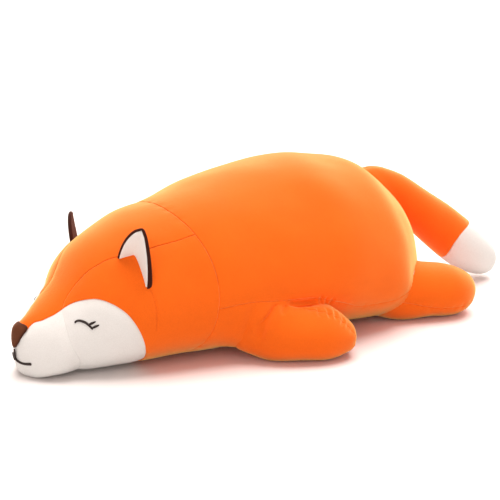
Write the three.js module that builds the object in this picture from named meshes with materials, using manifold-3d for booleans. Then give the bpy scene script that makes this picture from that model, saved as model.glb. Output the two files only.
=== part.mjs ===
// A plush fox that lies on its belly: panels of short stretch plush sewn round loose filling,
// with four stuffed legs, a stuffed tail and two lined ears that bend at the seams that hold them.
// Lengths are in millimetres. The fox looks along -X, its left side is -Y and the floor is z = 0.
// While the pieces are made, x runs back from the tip of the muzzle; the toy is centred at the end.
import * as THREE from 'three';
import { mergeVertices } from 'three/addons/utils/BufferGeometryUtils.js';
import Module from 'manifold-3d';

const wasm = await Module();
wasm.setup();

// Cloth and fit
const CLOTH = 2; // a plush panel with its pile
const GAP = 0.3; // at a seam, and between cloth and filling
const FLAT_CUT = 0.5; // how deep the floor flattens what lies on it
const OVERRUN = 40; // how far a cutting shape runs past what it cuts

// Head and torso: one bag of filling with a seam round the neck
const HEAD_LENGTH = 145;
const NECK_WIDTH = 174;
const NECK_HEIGHT = 129;
const TORSO_LENGTH = 266;
const TORSO_WIDTH = 216;
const TORSO_HEIGHT = 151;

// White face and the seam between muzzle and cheek
const MASK_LENGTH = 95;
const MASK_HEIGHT = 68;
const MUZZLE_LENGTH = 31;

// Nose patch
const NOSE_WIDTH = 21;
const NOSE_HEIGHT = 19.5;
const NOSE_BOTTOM = 26;
const NOSE_THICKNESS = 2;
const NOSE_DEPTH = 18;

// Embroidery
const THREAD_RADIUS = 0.9;
const MOUTH_UNDER_NOSE = 1.3;
const MOUTH_DROP = 11.4;
const MOUTH_WIDTH = 33.4;
const EYE_WIDTH = 10.2;
const EYE_DEPTH = 6.1;
const EYE_FROM_NOSE = 36;
const EYE_TOP = 51.5;
const LASH_LENGTH = 4;
const LASH_RISE = 2.8;

// Ears
const EAR_TIP_HEIGHT = 24; // tip of the left ear above its fold
const EAR_TIP_WIDTH = 15; // tip of the left ear out from its fold
const EAR_TIP_LENGTH = 3; // and ahead of it
const EAR_RIGHT_TIP_DROP_HEIGHT = 11; // how much lower the tip of the right ear hangs
const EAR_RIGHT_TIP_EXTRA_WIDTH = 4; // how much further out it is
const EAR_FROM_NOSE = 89.7;
const EAR_FROM_MIDDLE = 42;
const EAR_FRONT_WING = 10.5; // forward along the crown seam
const EAR_FRONT_WING_IN = 6;
const EAR_SIDE_WING = 22; // out and down the side of the head
const EAR_SIDE_WING_BACK = 1.3;
const EAR_BACK = 1.8;
const EAR_LINING = 1.5;
const EAR_RIM = 1.4; // how far the back shows round the lining
const EAR_SEAT = 5; // how far the ear is drawn into the head before it is cut
const EAR_TOP_SHARE = 0.985; // of its height, where the tip is cut square
const EAR_EDGE_POWER = 0.45; // how the sides round in: the spread is this power of the height left

// Front legs
const FRONT_LEG_LENGTH = 110;
const FRONT_LEG_WIDTH = 66;
const FRONT_LEG_HEIGHT = 52;
const FRONT_LEG_FROM_NECK = 20; // its hidden start, behind the neck
const FRONT_LEG_FROM_MIDDLE = 66;
const FRONT_LEG_SPLAY = 35; // degrees
const FRONT_LEG_SEAM_IN = 8;
const FRONT_LEG_SEAM_OUT = 19;

// Hind legs
const HIND_LEG_LENGTH = 113;
const HIND_LEG_WIDTH = 61;
const HIND_LEG_HEIGHT = 56;
const HIND_LEG_FROM_RUMP = 94; // its hidden start, ahead of the rump
const HIND_LEG_FROM_MIDDLE = 62;
const HIND_LEG_SPLAY = 18; // degrees
const HIND_LEG_SEAM_HEIGHT = 28;

// Tail
const TAIL_REACH = 169; // from its hidden start to its tip
const TAIL_WIDTH = 49;
const TAIL_DEPTH = 44;
const TAIL_FROM_RUMP = 56; // its hidden start, ahead of the rump
const TAIL_UNDER_BACK = 41; // its hidden start, under the torso's height
const TAIL_TIP_HEIGHT = 13;
const TAIL_TIP_WIDTH = 29; // how far its tip lies to the left
const TAIL_WHITE_FROM_START = 122;
const TAIL_WHITE_BULGE = 12;

// Colours
const ORANGE = 0xff7326;
const CREAM = 0xf3e8e0;
const BROWN = 0x7a3d24;
const DARK_BROWN = 0x6b3522;
const THREAD_COLOUR = 0x35201c;
const FILLING_COLOUR = 0xf7f5f0;

// Sections along the head, as shares of the head's length, half the neck's width, and for the top,
// the underside and the widest level the neck's height
const HEAD_SHARES = [
  [0, 0, 0.225, 0.225, 0.225],
  [0.014, 0.07, 0.309, 0.073, 0.217],
  [0.069, 0.265, 0.34, 0, 0.11],
  [0.166, 0.413, 0.425, 0, 0.155],
  [0.29, 0.515, 0.555, 0, 0.24],
  [0.428, 0.678, 0.752, 0, 0.318],
  [0.628, 0.816, 0.876, 0, 0.364],
  [1, 1, 1, 0, 0.41],
];

// Sections along the torso behind the neck, as shares of its length, half its width and its height
const TORSO_SHARES = [
  [0.195, 0.917, 0.934, 0, 0.371],
  [0.459, 1, 1, 0, 0.384],
  [0.684, 0.963, 0.967, 0, 0.391],
  [0.85, 0.741, 0.861, 0, 0.391],
  [0.951, 0.444, 0.702, 0.093, 0.384],
  [0.989, 0.204, 0.53, 0.238, 0.384],
  [1, 0, 0.384, 0.384, 0.384],
];

// Sections along a leg, as shares of its length, half its width and its height
const FRONT_LEG_SHARES = [
  [0, 0, 0.5, 0.5, 0.5],
  [0.067, 0.55, 0.82, 0.2, 0.5],
  [0.267, 0.91, 1, 0, 0.48],
  [0.533, 1, 1, 0, 0.46],
  [0.778, 0.88, 0.95, 0, 0.46],
  [0.955, 0.46, 0.72, 0.16, 0.44],
  [1, 0, 0.44, 0.44, 0.44],
];
const HIND_LEG_SHARES = [
  [0, 0, 0.5, 0.5, 0.5],
  [0.064, 0.59, 0.82, 0.18, 0.5],
  [0.28, 0.93, 1, 0, 0.5],
  [0.545, 1, 1, 0, 0.5],
  [0.79, 0.95, 0.98, 0, 0.49],
  [0.955, 0.52, 0.77, 0.2, 0.48],
  [1, 0, 0.48, 0.48, 0.48],
];

// The tail's centre line, as shares of its reach, its sweep and its fall, then the shares of half
// its width and half its depth there
const TAIL_SHARES = [
  [0, 0, 0, 0, 0],
  [0.107, 0, -0.01, 0.57, 0.64],
  [0.272, 0.1, 0.093, 0.73, 0.82],
  [0.438, 0.276, 0.278, 0.86, 0.91],
  [0.604, 0.483, 0.495, 0.94, 1],
  [0.746, 0.69, 0.701, 1, 1],
  [0.876, 0.862, 0.866, 0.86, 0.86],
  [0.964, 0.966, 0.969, 0.49, 0.52],
  [1, 1, 1, 0, 0],
];

// Seam lines, in shares of the two sizes that each call names
const MASK_EDGE_SHARES = [
  [0, 0.59], [0.11, 0.63], [0.21, 0.715], [0.31, 0.8], [0.415, 0.91], [0.5, 0.975], [0.575, 1],
  [0.655, 0.955], [0.74, 0.85], [0.795, 0.73], [0.835, 0.615], [0.88, 0.46], [0.93, 0.28],
  [0.97, 0.14], [1, 0],
];
const MUZZLE_SEAM_SHARES = [[1.42, 0], [1.24, 0.25], [1.05, 0.44], [0.99, 0.62], [1.04, 0.8], [1.2, 1]];
const CROWN_SEAM_SHARES = [
  [0.2, 0.33], [0.226, 0.26], [0.262, 0.208], [0.312, 0.206], [0.37, 0.255], [0.437, 0.326],
  [0.503, 0.375], [0.62, 0.483], [0.83, 0.58], [1, 0.644],
];
const CROWN_FLOOR_SHARE = 0.3; // of the neck's height, under which the crown panel never comes
const SIDE_SEAM_SHARES = [
  [0, 0.351], [0.105, 0.368], [0.24, 0.348], [0.335, 0.331], [0.436, 0.272], [0.538, 0.205],
  [0.67, 0.205], [0.72, 0.25], [0.816, 0.291], [0.876, 0.325], [1, 0.377],
];
const HIND_LEG_SEAM_SHARES = [[0, 1], [0.4, 0.86], [0.62, 0.5], [1, 0.43]];

// Half the nose patch seen from the front, from its top round to its point, in shares of half its
// width and its height above its point
const NOSE_SHARES = [
  [0, 1], [0.55, 0.97], [0.9, 0.9], [1, 0.8], [0.96, 0.66], [0.84, 0.44], [0.6, 0.2], [0.28, 0.04],
  [0, 0],
];

// One side of the mouth, in shares of half its width and its drop, and the closed eye, in shares of
// its width and depth, seen from the front and from the side
const MOUTH_SHARES = [[0, 0.76], [0.18, 0.92], [0.4, 1], [0.68, 0.97], [1, 0.87]];
const MOUTH_LINE_SHARES = [[0, 0], [0, 0.4], [0, 0.8]];
const EYE_SHARES = [[0, 0.3], [0.16, 0.07], [0.35, 0], [0.56, 0.1], [0.75, 0.36], [1, 1]];
const LASH_ROOT_SHARES = [[0.93, 0.66], [1, 0.84]];

// Resolution of the skins
const BODY_RINGS = 20;
const BODY_AROUND = 20;
const LEG_RINGS = 8;
const LEG_AROUND = 12;
const TAIL_RINGS = 10;
const TAIL_AROUND = 12;
const EAR_ACROSS = 6;
const EAR_UP = 4;
const SEAM_STEPS = 12;
const THREAD_SIDES = 6;
const THREAD_STEPS = 8;
const HALVINGS = 40; // in a search for a place along a form

const neck = HEAD_LENGTH;
const rump = HEAD_LENGTH + TORSO_LENGTH;
const beyond = rump + TAIL_REACH + OVERRUN;

const UPPER_ROUNDNESS = 2; // an ellipse over the widest level
const LOWER_ROUNDNESS = 2.3; // a little squarer under it, where the toy sags on the floor
const STEP = 1e-3; // of a form's own parameters, for its slopes
const WELD = 1e-4; // corners nearer than this are one

const X = new THREE.Vector3(1, 0, 0);
const Y = new THREE.Vector3(0, 1, 0);
const Z = new THREE.Vector3(0, 0, 1);
const SIDE_VIEW = [X, Z, Y.clone().negate()];
const PLAN_VIEW = [X, Y, Z];
const FRONT_VIEW = [Y, Z, X];

// A solid of numbered points and triangles, turned to face outwards
function solidOf(points, triangles) {
  const vertProperties = new Float32Array(points.flatMap((p) => [p.x, p.y, p.z]));
  const made = (faces) => new wasm.Manifold(new wasm.Mesh({
    numProp: 3, vertProperties, triVerts: new Uint32Array(faces.flat()),
  }));
  const first = made(triangles);
  return first.volume() > 0 ? first : made(triangles.map(([a, b, c]) => [a, c, b]));
}

// A closed three.js geometry as a solid
function solidFrom(geometry) {
  const bare = geometry.clone();
  bare.deleteAttribute('normal');
  bare.deleteAttribute('uv');
  const merged = mergeVertices(bare, WELD);
  const places = merged.getAttribute('position');
  const points = Array.from({ length: places.count }, (_, i) => (
    new THREE.Vector3().fromBufferAttribute(places, i)));
  const corners = Array.from(merged.index.array);
  const triangles = [];
  for (let i = 0; i < corners.length; i += 3) triangles.push(corners.slice(i, i + 3));
  return solidOf(points, triangles);
}

// An outline carried straight from one level to another along the third of the view's axes
function prism(outline, low, high, view) {
  const shape = new THREE.Shape(outline.map(([across, up]) => new THREE.Vector2(across, up)));
  const geometry = new THREE.ExtrudeGeometry(shape, { depth: high - low, bevelEnabled: false });
  geometry.translate(0, 0, low);
  geometry.applyMatrix4(new THREE.Matrix4().makeBasis(...view));
  return solidFrom(geometry);
}

// Rows of numbers joined by a smooth curve through them all, read at any place between rows
function smoothRow(rows, place) {
  const last = rows.length - 1;
  const index = Math.min(Math.max(Math.floor(place), 0), last - 1);
  const t = place - index;
  const row = (i) => {
    if (i < 0) return rows[0].map((value, k) => 2 * value - rows[1][k]);
    if (i > last) return rows[last].map((value, k) => 2 * value - rows[last - 1][k]);
    return rows[i];
  };
  const [before, from, to, after] = [row(index - 1), row(index), row(index + 1), row(index + 2)];
  return from.map((value, k) => 0.5 * (2 * value + (to[k] - before[k]) * t
    + (2 * before[k] - 5 * value + 4 * to[k] - after[k]) * t ** 2
    + (3 * value - before[k] - 3 * to[k] + after[k]) * t ** 3));
}

// The first place among rows, up to a last one, whose row passes a test
function placeWhere(rows, last, test) {
  let [from, to] = [0, last];
  for (let i = 0; i < HALVINGS; i += 1) {
    const middle = (from + to) / 2;
    if (test(smoothRow(rows, middle))) to = middle;
    else from = middle;
  }
  return (from + to) / 2;
}

// Sections in real sizes from their shares
function sections(shares, start, length, width, height) {
  return shares.map(([along, side, top, under, widest]) => [
    start + along * length, (side * width) / 2, top * height, under * height - FLAT_CUT,
    widest * height,
  ]);
}

// A point of a section: half ellipses over and under its widest level, the lower one squarer
function sectionPoint([x, half, top, under, widest], angle) {
  const across = Math.cos(angle);
  const up = Math.sin(angle);
  const power = up >= 0 ? UPPER_ROUNDNESS : LOWER_ROUNDNESS;
  const reach = (Math.abs(across) ** power + Math.abs(up) ** power) ** (-1 / power);
  const rise = up >= 0 ? top - widest : widest - under;
  return new THREE.Vector3(x, half * across * reach, widest + rise * up * reach);
}

// What lies under a level
function floorUnder(level) {
  const outline = [[-beyond, -beyond], [beyond, -beyond], [beyond, beyond], [-beyond, beyond]];
  return prism(outline, -OVERRUN, level, PLAN_VIEW);
}

// A stuffed form: a point for each place along it and each angle round it
class Form {
  constructor(last, rings, around, pointAt) {
    this.last = last;
    this.rings = rings;
    this.around = around;
    this.pointAt = pointAt;
  }

  // The way the surface faces
  normalAt(place, angle) {
    const along = this.pointAt(place + STEP, angle).sub(this.pointAt(place - STEP, angle));
    const round = this.pointAt(place, angle + STEP).sub(this.pointAt(place, angle - STEP));
    return round.cross(along).normalize();
  }

  // The point at an end, moved out along the form
  poleAt(place, inner, grow) {
    const middle = (where) => this.pointAt(where, 0).add(this.pointAt(where, Math.PI)).divideScalar(2);
    const end = middle(place);
    return end.clone().add(end.clone().sub(middle(inner)).normalize().multiplyScalar(grow));
  }

  // The solid inside the surface once it has moved out by grow, flat where it meets the floor
  solid(grow, around = this.around) {
    const stride = this.last / (this.rings + 1);
    const points = [this.poleAt(0, stride, grow)];
    for (let ring = 1; ring <= this.rings; ring += 1) {
      for (let turn = 0; turn < around; turn += 1) {
        const angle = (2 * Math.PI * turn) / around;
        const normal = this.normalAt(ring * stride, angle);
        points.push(this.pointAt(ring * stride, angle).addScaledVector(normal, grow));
      }
    }
    points.push(this.poleAt(this.last, this.last - stride, grow));
    const triangles = [];
    const index = (ring, turn) => 1 + (ring - 1) * around + (turn % around);
    for (let turn = 0; turn < around; turn += 1) {
      triangles.push([0, index(1, turn + 1), index(1, turn)]);
      triangles.push([points.length - 1, index(this.rings, turn), index(this.rings, turn + 1)]);
      for (let ring = 1; ring < this.rings; ring += 1) {
        const [a, b] = [index(ring, turn), index(ring, turn + 1)];
        const [c, d] = [index(ring + 1, turn), index(ring + 1, turn + 1)];
        triangles.push([a, b, d], [a, d, c]);
      }
    }
    return solidOf(points, triangles).subtract(floorUnder(-grow));
  }

  // The cloth over the form, and the filling in it, whose facets are coarser so that they stay inside
  cloth() {
    return this.solid(0).subtract(this.solid(-CLOTH));
  }

  filling() {
    return this.solid(-CLOTH - GAP, this.around / 2);
  }
}

// A smooth seam line through points given in shares of two sizes
function seamLine(shares, across, up) {
  const points = shares.map(([a, b]) => new THREE.Vector2(a * across, b * up));
  return new THREE.SplineCurve(points).getPoints(SEAM_STEPS).map((p) => [p.x, p.y]);
}

// The same line moved to its left by a distance
function moved(line, distance) {
  return line.map(([a, b], i) => {
    const [from, to] = [line[Math.max(i - 1, 0)], line[Math.min(i + 1, line.length - 1)]];
    const [across, up] = [to[0] - from[0], to[1] - from[1]];
    const length = Math.hypot(across, up);
    return [a - (distance * up) / length, b + (distance * across) / length];
  });
}

// A block between two places along the toy, right across it
function block(low, high) {
  const outline = [[low, -OVERRUN], [high, -OVERRUN], [high, beyond], [low, beyond]];
  return prism(outline, -beyond, beyond, SIDE_VIEW);
}

// The half of space left of the middle, clear of the seam there
const leftHalf = prism(
  [[-OVERRUN, -beyond], [rump + OVERRUN, -beyond], [rump + OVERRUN, -GAP / 2], [-OVERRUN, -GAP / 2]],
  -OVERRUN, beyond, PLAN_VIEW,
);

// Head and torso
const bodyRows = [
  ...sections(HEAD_SHARES, 0, HEAD_LENGTH, NECK_WIDTH, NECK_HEIGHT),
  ...sections(TORSO_SHARES, neck, TORSO_LENGTH, TORSO_WIDTH, TORSO_HEIGHT),
];
const bodyForm = new Form(bodyRows.length - 1, BODY_RINGS, BODY_AROUND, (place, angle) => (
  sectionPoint(smoothRow(bodyRows, place), angle)));
const bodyClear = bodyForm.solid(GAP);

const neckPlace = HEAD_SHARES.length - 1;
const placeAlong = (x) => placeWhere(bodyRows, neckPlace, ([sectionX]) => sectionX > x);

// The angle round a section at a level, on its left
function angleAtLevel([, , top, under, widest], z) {
  const over = z >= widest;
  const share = Math.min(over ? (z - widest) / (top - widest) : (widest - z) / (widest - under), 1);
  const power = over ? UPPER_ROUNDNESS : LOWER_ROUNDNESS;
  const across = (1 - share ** power) ** (1 / power);
  return Math.atan2(over ? share : -share, -across);
}

// A point of the left cheek seen at (x, z) from the side, lifted off the cloth
function onCheek(x, z, lift) {
  const place = placeAlong(x);
  const angle = angleAtLevel(smoothRow(bodyRows, place), z);
  return bodyForm.pointAt(place, angle).add(bodyForm.normalAt(place, angle).multiplyScalar(lift));
}

// A point of the muzzle's front seen at (y, z) from the front, lifted off the cloth
function onMuzzle(y, z, lift) {
  const place = placeWhere(bodyRows, neckPlace, ([, half, top, under, widest]) => {
    const over = z >= widest;
    const power = over ? UPPER_ROUNDNESS : LOWER_ROUNDNESS;
    const rise = over ? (z - widest) / (top - widest) : (widest - z) / (widest - under);
    return Math.abs(y / half) ** power + rise ** power < 1;
  });
  const row = smoothRow(bodyRows, place);
  const level = angleAtLevel(row, z);
  const angle = y > 0 ? Math.PI - level : level;
  return bodyForm.pointAt(place, angle).add(bodyForm.normalAt(place, angle).multiplyScalar(lift));
}

// A point of the head's top over (x, y), on its left
function onCrown(x, y) {
  const place = placeAlong(x);
  const [, half, top, , widest] = smoothRow(bodyRows, place);
  const share = (1 - (y / half) ** UPPER_ROUNDNESS) ** (1 / UPPER_ROUNDNESS);
  return new THREE.Vector3(x, y, widest + (top - widest) * share);
}

const fox = new THREE.Group();
const plush = (color) => new THREE.MeshStandardMaterial({ color, roughness: 0.95, metalness: 0 });
const orangePlush = plush(ORANGE);
const creamPlush = plush(CREAM);
const brownPlush = plush(BROWN);
const nosePlush = plush(DARK_BROWN);
const thread = new THREE.MeshStandardMaterial({ color: THREAD_COLOUR, roughness: 0.6, metalness: 0 });
const fibre = plush(FILLING_COLOUR);

// A named piece; a right-hand twin is its mirror image
function addPiece(name, solid, material, mirrored = false) {
  const { numProp, vertProperties, triVerts } = solid.getMesh();
  const places = new Float32Array((vertProperties.length / numProp) * 3);
  for (let i = 0; i < places.length / 3; i += 1) {
    for (let k = 0; k < 3; k += 1) places[3 * i + k] = vertProperties[numProp * i + k];
  }
  const geometry = new THREE.BufferGeometry();
  geometry.setAttribute('position', new THREE.BufferAttribute(places, 3));
  geometry.setIndex(Array.from(triVerts));
  geometry.computeVertexNormals();
  const mesh = new THREE.Mesh(geometry, material);
  mesh.name = name;
  if (mirrored) mesh.scale.y = -1;
  fox.add(mesh);
}

function addPair(name, solid, material) {
  addPiece(`${name}_left`, solid, material);
  addPiece(`${name}_right`, solid, material, true);
}

// Head: a white muzzle and cheeks, an orange crown panel and two orange sides with a seam under them
function maskPrism(distance) {
  const line = moved(seamLine(MASK_EDGE_SHARES, MASK_LENGTH, MASK_HEIGHT), distance);
  const [first, last] = [line[0], line[line.length - 1]];
  const outline = [
    [-OVERRUN, first[1]], ...line, [last[0], -OVERRUN], [-OVERRUN, -OVERRUN],
  ];
  return prism(outline, -beyond, beyond, SIDE_VIEW);
}

function muzzlePrism(distance) {
  const line = moved(seamLine(MUZZLE_SEAM_SHARES, MUZZLE_LENGTH, MASK_HEIGHT), distance);
  const [first, last] = [line[0], line[line.length - 1]];
  const outline = [
    [-OVERRUN, -OVERRUN], [first[0], -OVERRUN], ...line, [last[0], beyond], [-OVERRUN, beyond],
  ];
  return prism(outline, -beyond, beyond, SIDE_VIEW);
}

function crownPrism(distance) {
  const side = moved(seamLine(CROWN_SEAM_SHARES, HEAD_LENGTH, NECK_WIDTH / 2), distance);
  const [first, last] = [side[0], side[side.length - 1]];
  const upper = [[-OVERRUN, first[1]], ...side, [neck + OVERRUN, last[1]]];
  const lower = upper.map(([x, y]) => [x, -y]).reverse();
  return prism([...upper, ...lower], CROWN_FLOOR_SHARE * NECK_HEIGHT, beyond, PLAN_VIEW);
}

const bodyCloth = bodyForm.cloth();
const headCloth = bodyCloth.intersect(block(-OVERRUN, neck - GAP / 2));
const whiteCloth = headCloth.intersect(maskPrism(-GAP / 2));
const orangeCloth = headCloth.subtract(maskPrism(GAP / 2));
addPiece('muzzle_panel', whiteCloth.intersect(muzzlePrism(GAP / 2)), creamPlush);
addPair('cheek_panel', whiteCloth.subtract(muzzlePrism(-GAP / 2)).intersect(leftHalf), creamPlush);
addPiece('crown_panel', orangeCloth.intersect(crownPrism(-GAP / 2)), orangePlush);
addPair('head_side_panel', orangeCloth.subtract(crownPrism(GAP / 2)).intersect(leftHalf), orangePlush);

// Torso: one panel over the back and one under the belly, and the filling of head and torso
function bellyPrism(distance) {
  const seam = seamLine(SIDE_SEAM_SHARES, TORSO_LENGTH, TORSO_HEIGHT);
  const line = moved(seam.map(([x, z]) => [neck + x, z]), distance);
  const [first, last] = [line[0], line[line.length - 1]];
  const outline = [
    [neck - OVERRUN, first[1]], ...line, [rump + OVERRUN, last[1]],
    [rump + OVERRUN, -OVERRUN], [neck - OVERRUN, -OVERRUN],
  ];
  return prism(outline, -beyond, beyond, SIDE_VIEW);
}

const torsoCloth = bodyCloth.intersect(block(neck + GAP / 2, rump + OVERRUN));
addPiece('back_panel', torsoCloth.subtract(bellyPrism(GAP / 2)), orangePlush);
addPiece('belly_panel', torsoCloth.intersect(bellyPrism(-GAP / 2)), orangePlush);
addPiece('body_filling', bodyForm.filling(), fibre);

// Nose: a brown patch over the front of the muzzle
const noseSide = new THREE.SplineCurve(NOSE_SHARES.map(([across, up]) => (
  new THREE.Vector2((across * NOSE_WIDTH) / 2, NOSE_BOTTOM + up * NOSE_HEIGHT)
))).getPoints(SEAM_STEPS / 2).map((p) => [p.x, p.y]);
const noseOutline = [...noseSide, ...noseSide.slice(1, -1).reverse().map(([y, z]) => [-y, z])];
const noseLayer = bodyForm.solid(GAP + NOSE_THICKNESS).subtract(bodyClear);
addPiece('nose', noseLayer.intersect(prism(noseOutline, -OVERRUN, NOSE_DEPTH, FRONT_VIEW)), nosePlush);

// Embroidery: threads that lie on the cloth
const threadSection = new THREE.Shape(Array.from({ length: THREAD_SIDES }, (_, i) => {
  const angle = (2 * Math.PI * i) / THREAD_SIDES;
  return new THREE.Vector2(THREAD_RADIUS * Math.cos(angle), THREAD_RADIUS * Math.sin(angle));
}));
const threadLift = THREAD_RADIUS + GAP;

function threadAlong(points, steps = THREAD_STEPS) {
  const extrudePath = new THREE.CatmullRomCurve3(points);
  return solidFrom(new THREE.ExtrudeGeometry(threadSection, { extrudePath, steps, bevelEnabled: false }));
}

const mouthTop = NOSE_BOTTOM - MOUTH_UNDER_NOSE;
const mouthPoint = (side) => ([across, down]) => (
  onMuzzle((side * across * MOUTH_WIDTH) / 2, mouthTop - down * MOUTH_DROP, threadLift));
const mouth = threadAlong(MOUTH_LINE_SHARES.map(mouthPoint(1)), THREAD_STEPS / 4)
  .add(threadAlong(MOUTH_SHARES.map(mouthPoint(1))))
  .add(threadAlong(MOUTH_SHARES.map(mouthPoint(-1))));
addPiece('mouth_stitch', mouth, thread);

const eyePoint = ([along, down]) => [EYE_FROM_NOSE + along * EYE_WIDTH, EYE_TOP - down * EYE_DEPTH];
const eye = LASH_ROOT_SHARES.map(eyePoint).reduce(
  (whole, [x, z]) => whole.add(threadAlong([
    onCheek(x, z, threadLift), onCheek(x + LASH_LENGTH, z + LASH_RISE, threadLift),
  ], THREAD_STEPS / 4)),
  threadAlong(EYE_SHARES.map((share) => onCheek(...eyePoint(share), threadLift))),
);
addPair('eye_stitch', eye, thread);

// Ears: a brown back and a smaller white lining, cupped round a fold, with one wing along the crown
// seam and one down the side of the head
const earFold = onCrown(EAR_FROM_NOSE, -EAR_FROM_MIDDLE);
const earFront = onCrown(EAR_FROM_NOSE - EAR_FRONT_WING, -EAR_FROM_MIDDLE + EAR_FRONT_WING_IN);
const earSide = onCrown(EAR_FROM_NOSE + EAR_SIDE_WING_BACK, -EAR_FROM_MIDDLE - EAR_SIDE_WING);
const earBase = new THREE.CatmullRomCurve3([earFront, earFold, earSide]);

function earSheet(rise) {
  return (across, up) => {
    const spread = Math.max(1 - up, 0) ** EAR_EDGE_POWER;
    return earBase.getPoint(across).sub(earFold).multiplyScalar(spread)
      .addScaledVector(rise, up).add(earFold);
  };
}

// A slab between two distances in front of a sheet, with both of its faces and its edge closed
function slab(sheet, acrossLow, acrossHigh, upLow, upHigh, low, high) {
  const place = (i, j) => [
    acrossLow + ((acrossHigh - acrossLow) * i) / EAR_ACROSS, upLow + ((upHigh - upLow) * j) / EAR_UP,
  ];
  const points = [];
  [low, high].forEach((distance) => {
    for (let j = 0; j <= EAR_UP; j += 1) {
      for (let i = 0; i <= EAR_ACROSS; i += 1) {
        const [u, v] = place(i, j);
        const across = sheet(Math.min(u + STEP, 1), v).sub(sheet(Math.max(u - STEP, 0), v));
        const along = sheet(u, v + STEP).sub(sheet(u, v - STEP));
        points.push(sheet(u, v).addScaledVector(across.cross(along).normalize(), distance));
      }
    }
  });
  const row = EAR_ACROSS + 1;
  const half = row * (EAR_UP + 1);
  const triangles = [];
  const quad = (a, b, c, d) => triangles.push([a, b, c], [a, c, d]);
  for (let j = 0; j < EAR_UP; j += 1) {
    for (let i = 0; i < EAR_ACROSS; i += 1) {
      const a = j * row + i;
      quad(a, a + row, a + row + 1, a + 1);
      quad(half + a, half + a + 1, half + a + row + 1, half + a + row);
    }
    const [start, end] = [j * row, j * row + EAR_ACROSS];
    quad(start, half + start, half + start + row, start + row);
    quad(end, end + row, half + end + row, half + end);
  }
  for (let i = 0; i < EAR_ACROSS; i += 1) {
    const top = EAR_UP * row + i;
    quad(i, i + 1, half + i + 1, half + i);
    quad(top, half + top, half + top + 1, top + 1);
  }
  return solidOf(points, triangles);
}

const leftRise = new THREE.Vector3(-EAR_TIP_LENGTH, -EAR_TIP_WIDTH, EAR_TIP_HEIGHT);
const rightRise = leftRise.clone()
  .add(new THREE.Vector3(0, -EAR_RIGHT_TIP_EXTRA_WIDTH, -EAR_RIGHT_TIP_DROP_HEIGHT));
[['left', leftRise], ['right', rightRise]].forEach(([side, rise]) => {
  const sheet = earSheet(rise);
  const height = rise.length();
  const seat = -EAR_SEAT / height;
  const rim = EAR_RIM / height;
  const back = slab(sheet, 0, 1, seat, EAR_TOP_SHARE, -GAP / 2 - EAR_BACK, -GAP / 2);
  const lining = slab(sheet, rim, 1 - rim, seat, EAR_TOP_SHARE - rim, GAP / 2, GAP / 2 + EAR_LINING);
  const mirrored = side === 'right';
  addPiece(`ear_back_${side}`, back.subtract(bodyClear), brownPlush, mirrored);
  addPiece(`ear_lining_${side}`, lining.subtract(bodyClear), creamPlush, mirrored);
});

// Legs: a form in its own frame, with x along it and y across it towards the fox's middle, turned out
// from the torso and cut where it meets the torso
function legForm(shares, length, width, height, frame) {
  const rows = sections(shares, 0, length, width, height);
  return new Form(rows.length - 1, LEG_RINGS, LEG_AROUND, (place, angle) => (
    sectionPoint(smoothRow(rows, place), angle).applyMatrix4(frame)));
}

function legFrame(start, fromMiddle, splay) {
  return new THREE.Matrix4().makeRotationZ(-THREE.MathUtils.degToRad(splay))
    .setPosition(start, -fromMiddle, 0);
}

// A prism over an outline given in a leg's frame
function legPrism(outline, view, frame) {
  const axes = view.map((axis) => axis.clone().transformDirection(frame));
  const start = new THREE.Vector3().setFromMatrixPosition(frame);
  const placed = outline.map(([across, up]) => [across + start.dot(axes[0]), up + start.dot(axes[1])]);
  const level = start.dot(axes[2]);
  return prism(placed, level - beyond, level + beyond, axes);
}

const frontFrame = legFrame(neck + FRONT_LEG_FROM_NECK, FRONT_LEG_FROM_MIDDLE, FRONT_LEG_SPLAY);
const frontForm = legForm(
  FRONT_LEG_SHARES, FRONT_LEG_LENGTH, FRONT_LEG_WIDTH, FRONT_LEG_HEIGHT, frontFrame,
);
const frontCloth = frontForm.cloth().subtract(bodyClear);
const outerPrism = (distance) => legPrism([
  [-OVERRUN, -FRONT_LEG_SEAM_IN + distance],
  [-OVERRUN, -FRONT_LEG_WIDTH - OVERRUN],
  [FRONT_LEG_LENGTH + OVERRUN, -FRONT_LEG_WIDTH - OVERRUN],
  [FRONT_LEG_LENGTH, -FRONT_LEG_SEAM_OUT + distance],
], PLAN_VIEW, frontFrame);
addPair('front_leg_outer_panel', frontCloth.intersect(outerPrism(-GAP / 2)), orangePlush);
addPair('front_leg_inner_panel', frontCloth.subtract(outerPrism(GAP / 2)), orangePlush);
addPair('front_leg_filling', frontForm.filling().subtract(bodyClear), fibre);

const hindFrame = legFrame(rump - HIND_LEG_FROM_RUMP, HIND_LEG_FROM_MIDDLE, HIND_LEG_SPLAY);
const hindForm = legForm(HIND_LEG_SHARES, HIND_LEG_LENGTH, HIND_LEG_WIDTH, HIND_LEG_HEIGHT, hindFrame);
const hindCloth = hindForm.cloth().subtract(bodyClear);
function solePrism(distance) {
  const line = moved(seamLine(HIND_LEG_SEAM_SHARES, HIND_LEG_LENGTH, HIND_LEG_SEAM_HEIGHT), distance);
  const [first, last] = [line[0], line[line.length - 1]];
  return legPrism([
    [-OVERRUN, -OVERRUN], [HIND_LEG_LENGTH + OVERRUN, -OVERRUN],
    [HIND_LEG_LENGTH + OVERRUN, last[1]], ...line.reverse(), [-OVERRUN, first[1]],
  ], SIDE_VIEW, hindFrame);
}
addPair('hind_leg_upper_panel', hindCloth.subtract(solePrism(GAP / 2)), orangePlush);
addPair('hind_leg_sole_panel', hindCloth.intersect(solePrism(-GAP / 2)), orangePlush);
addPair('hind_leg_filling', hindForm.filling().subtract(bodyClear), fibre);

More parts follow.
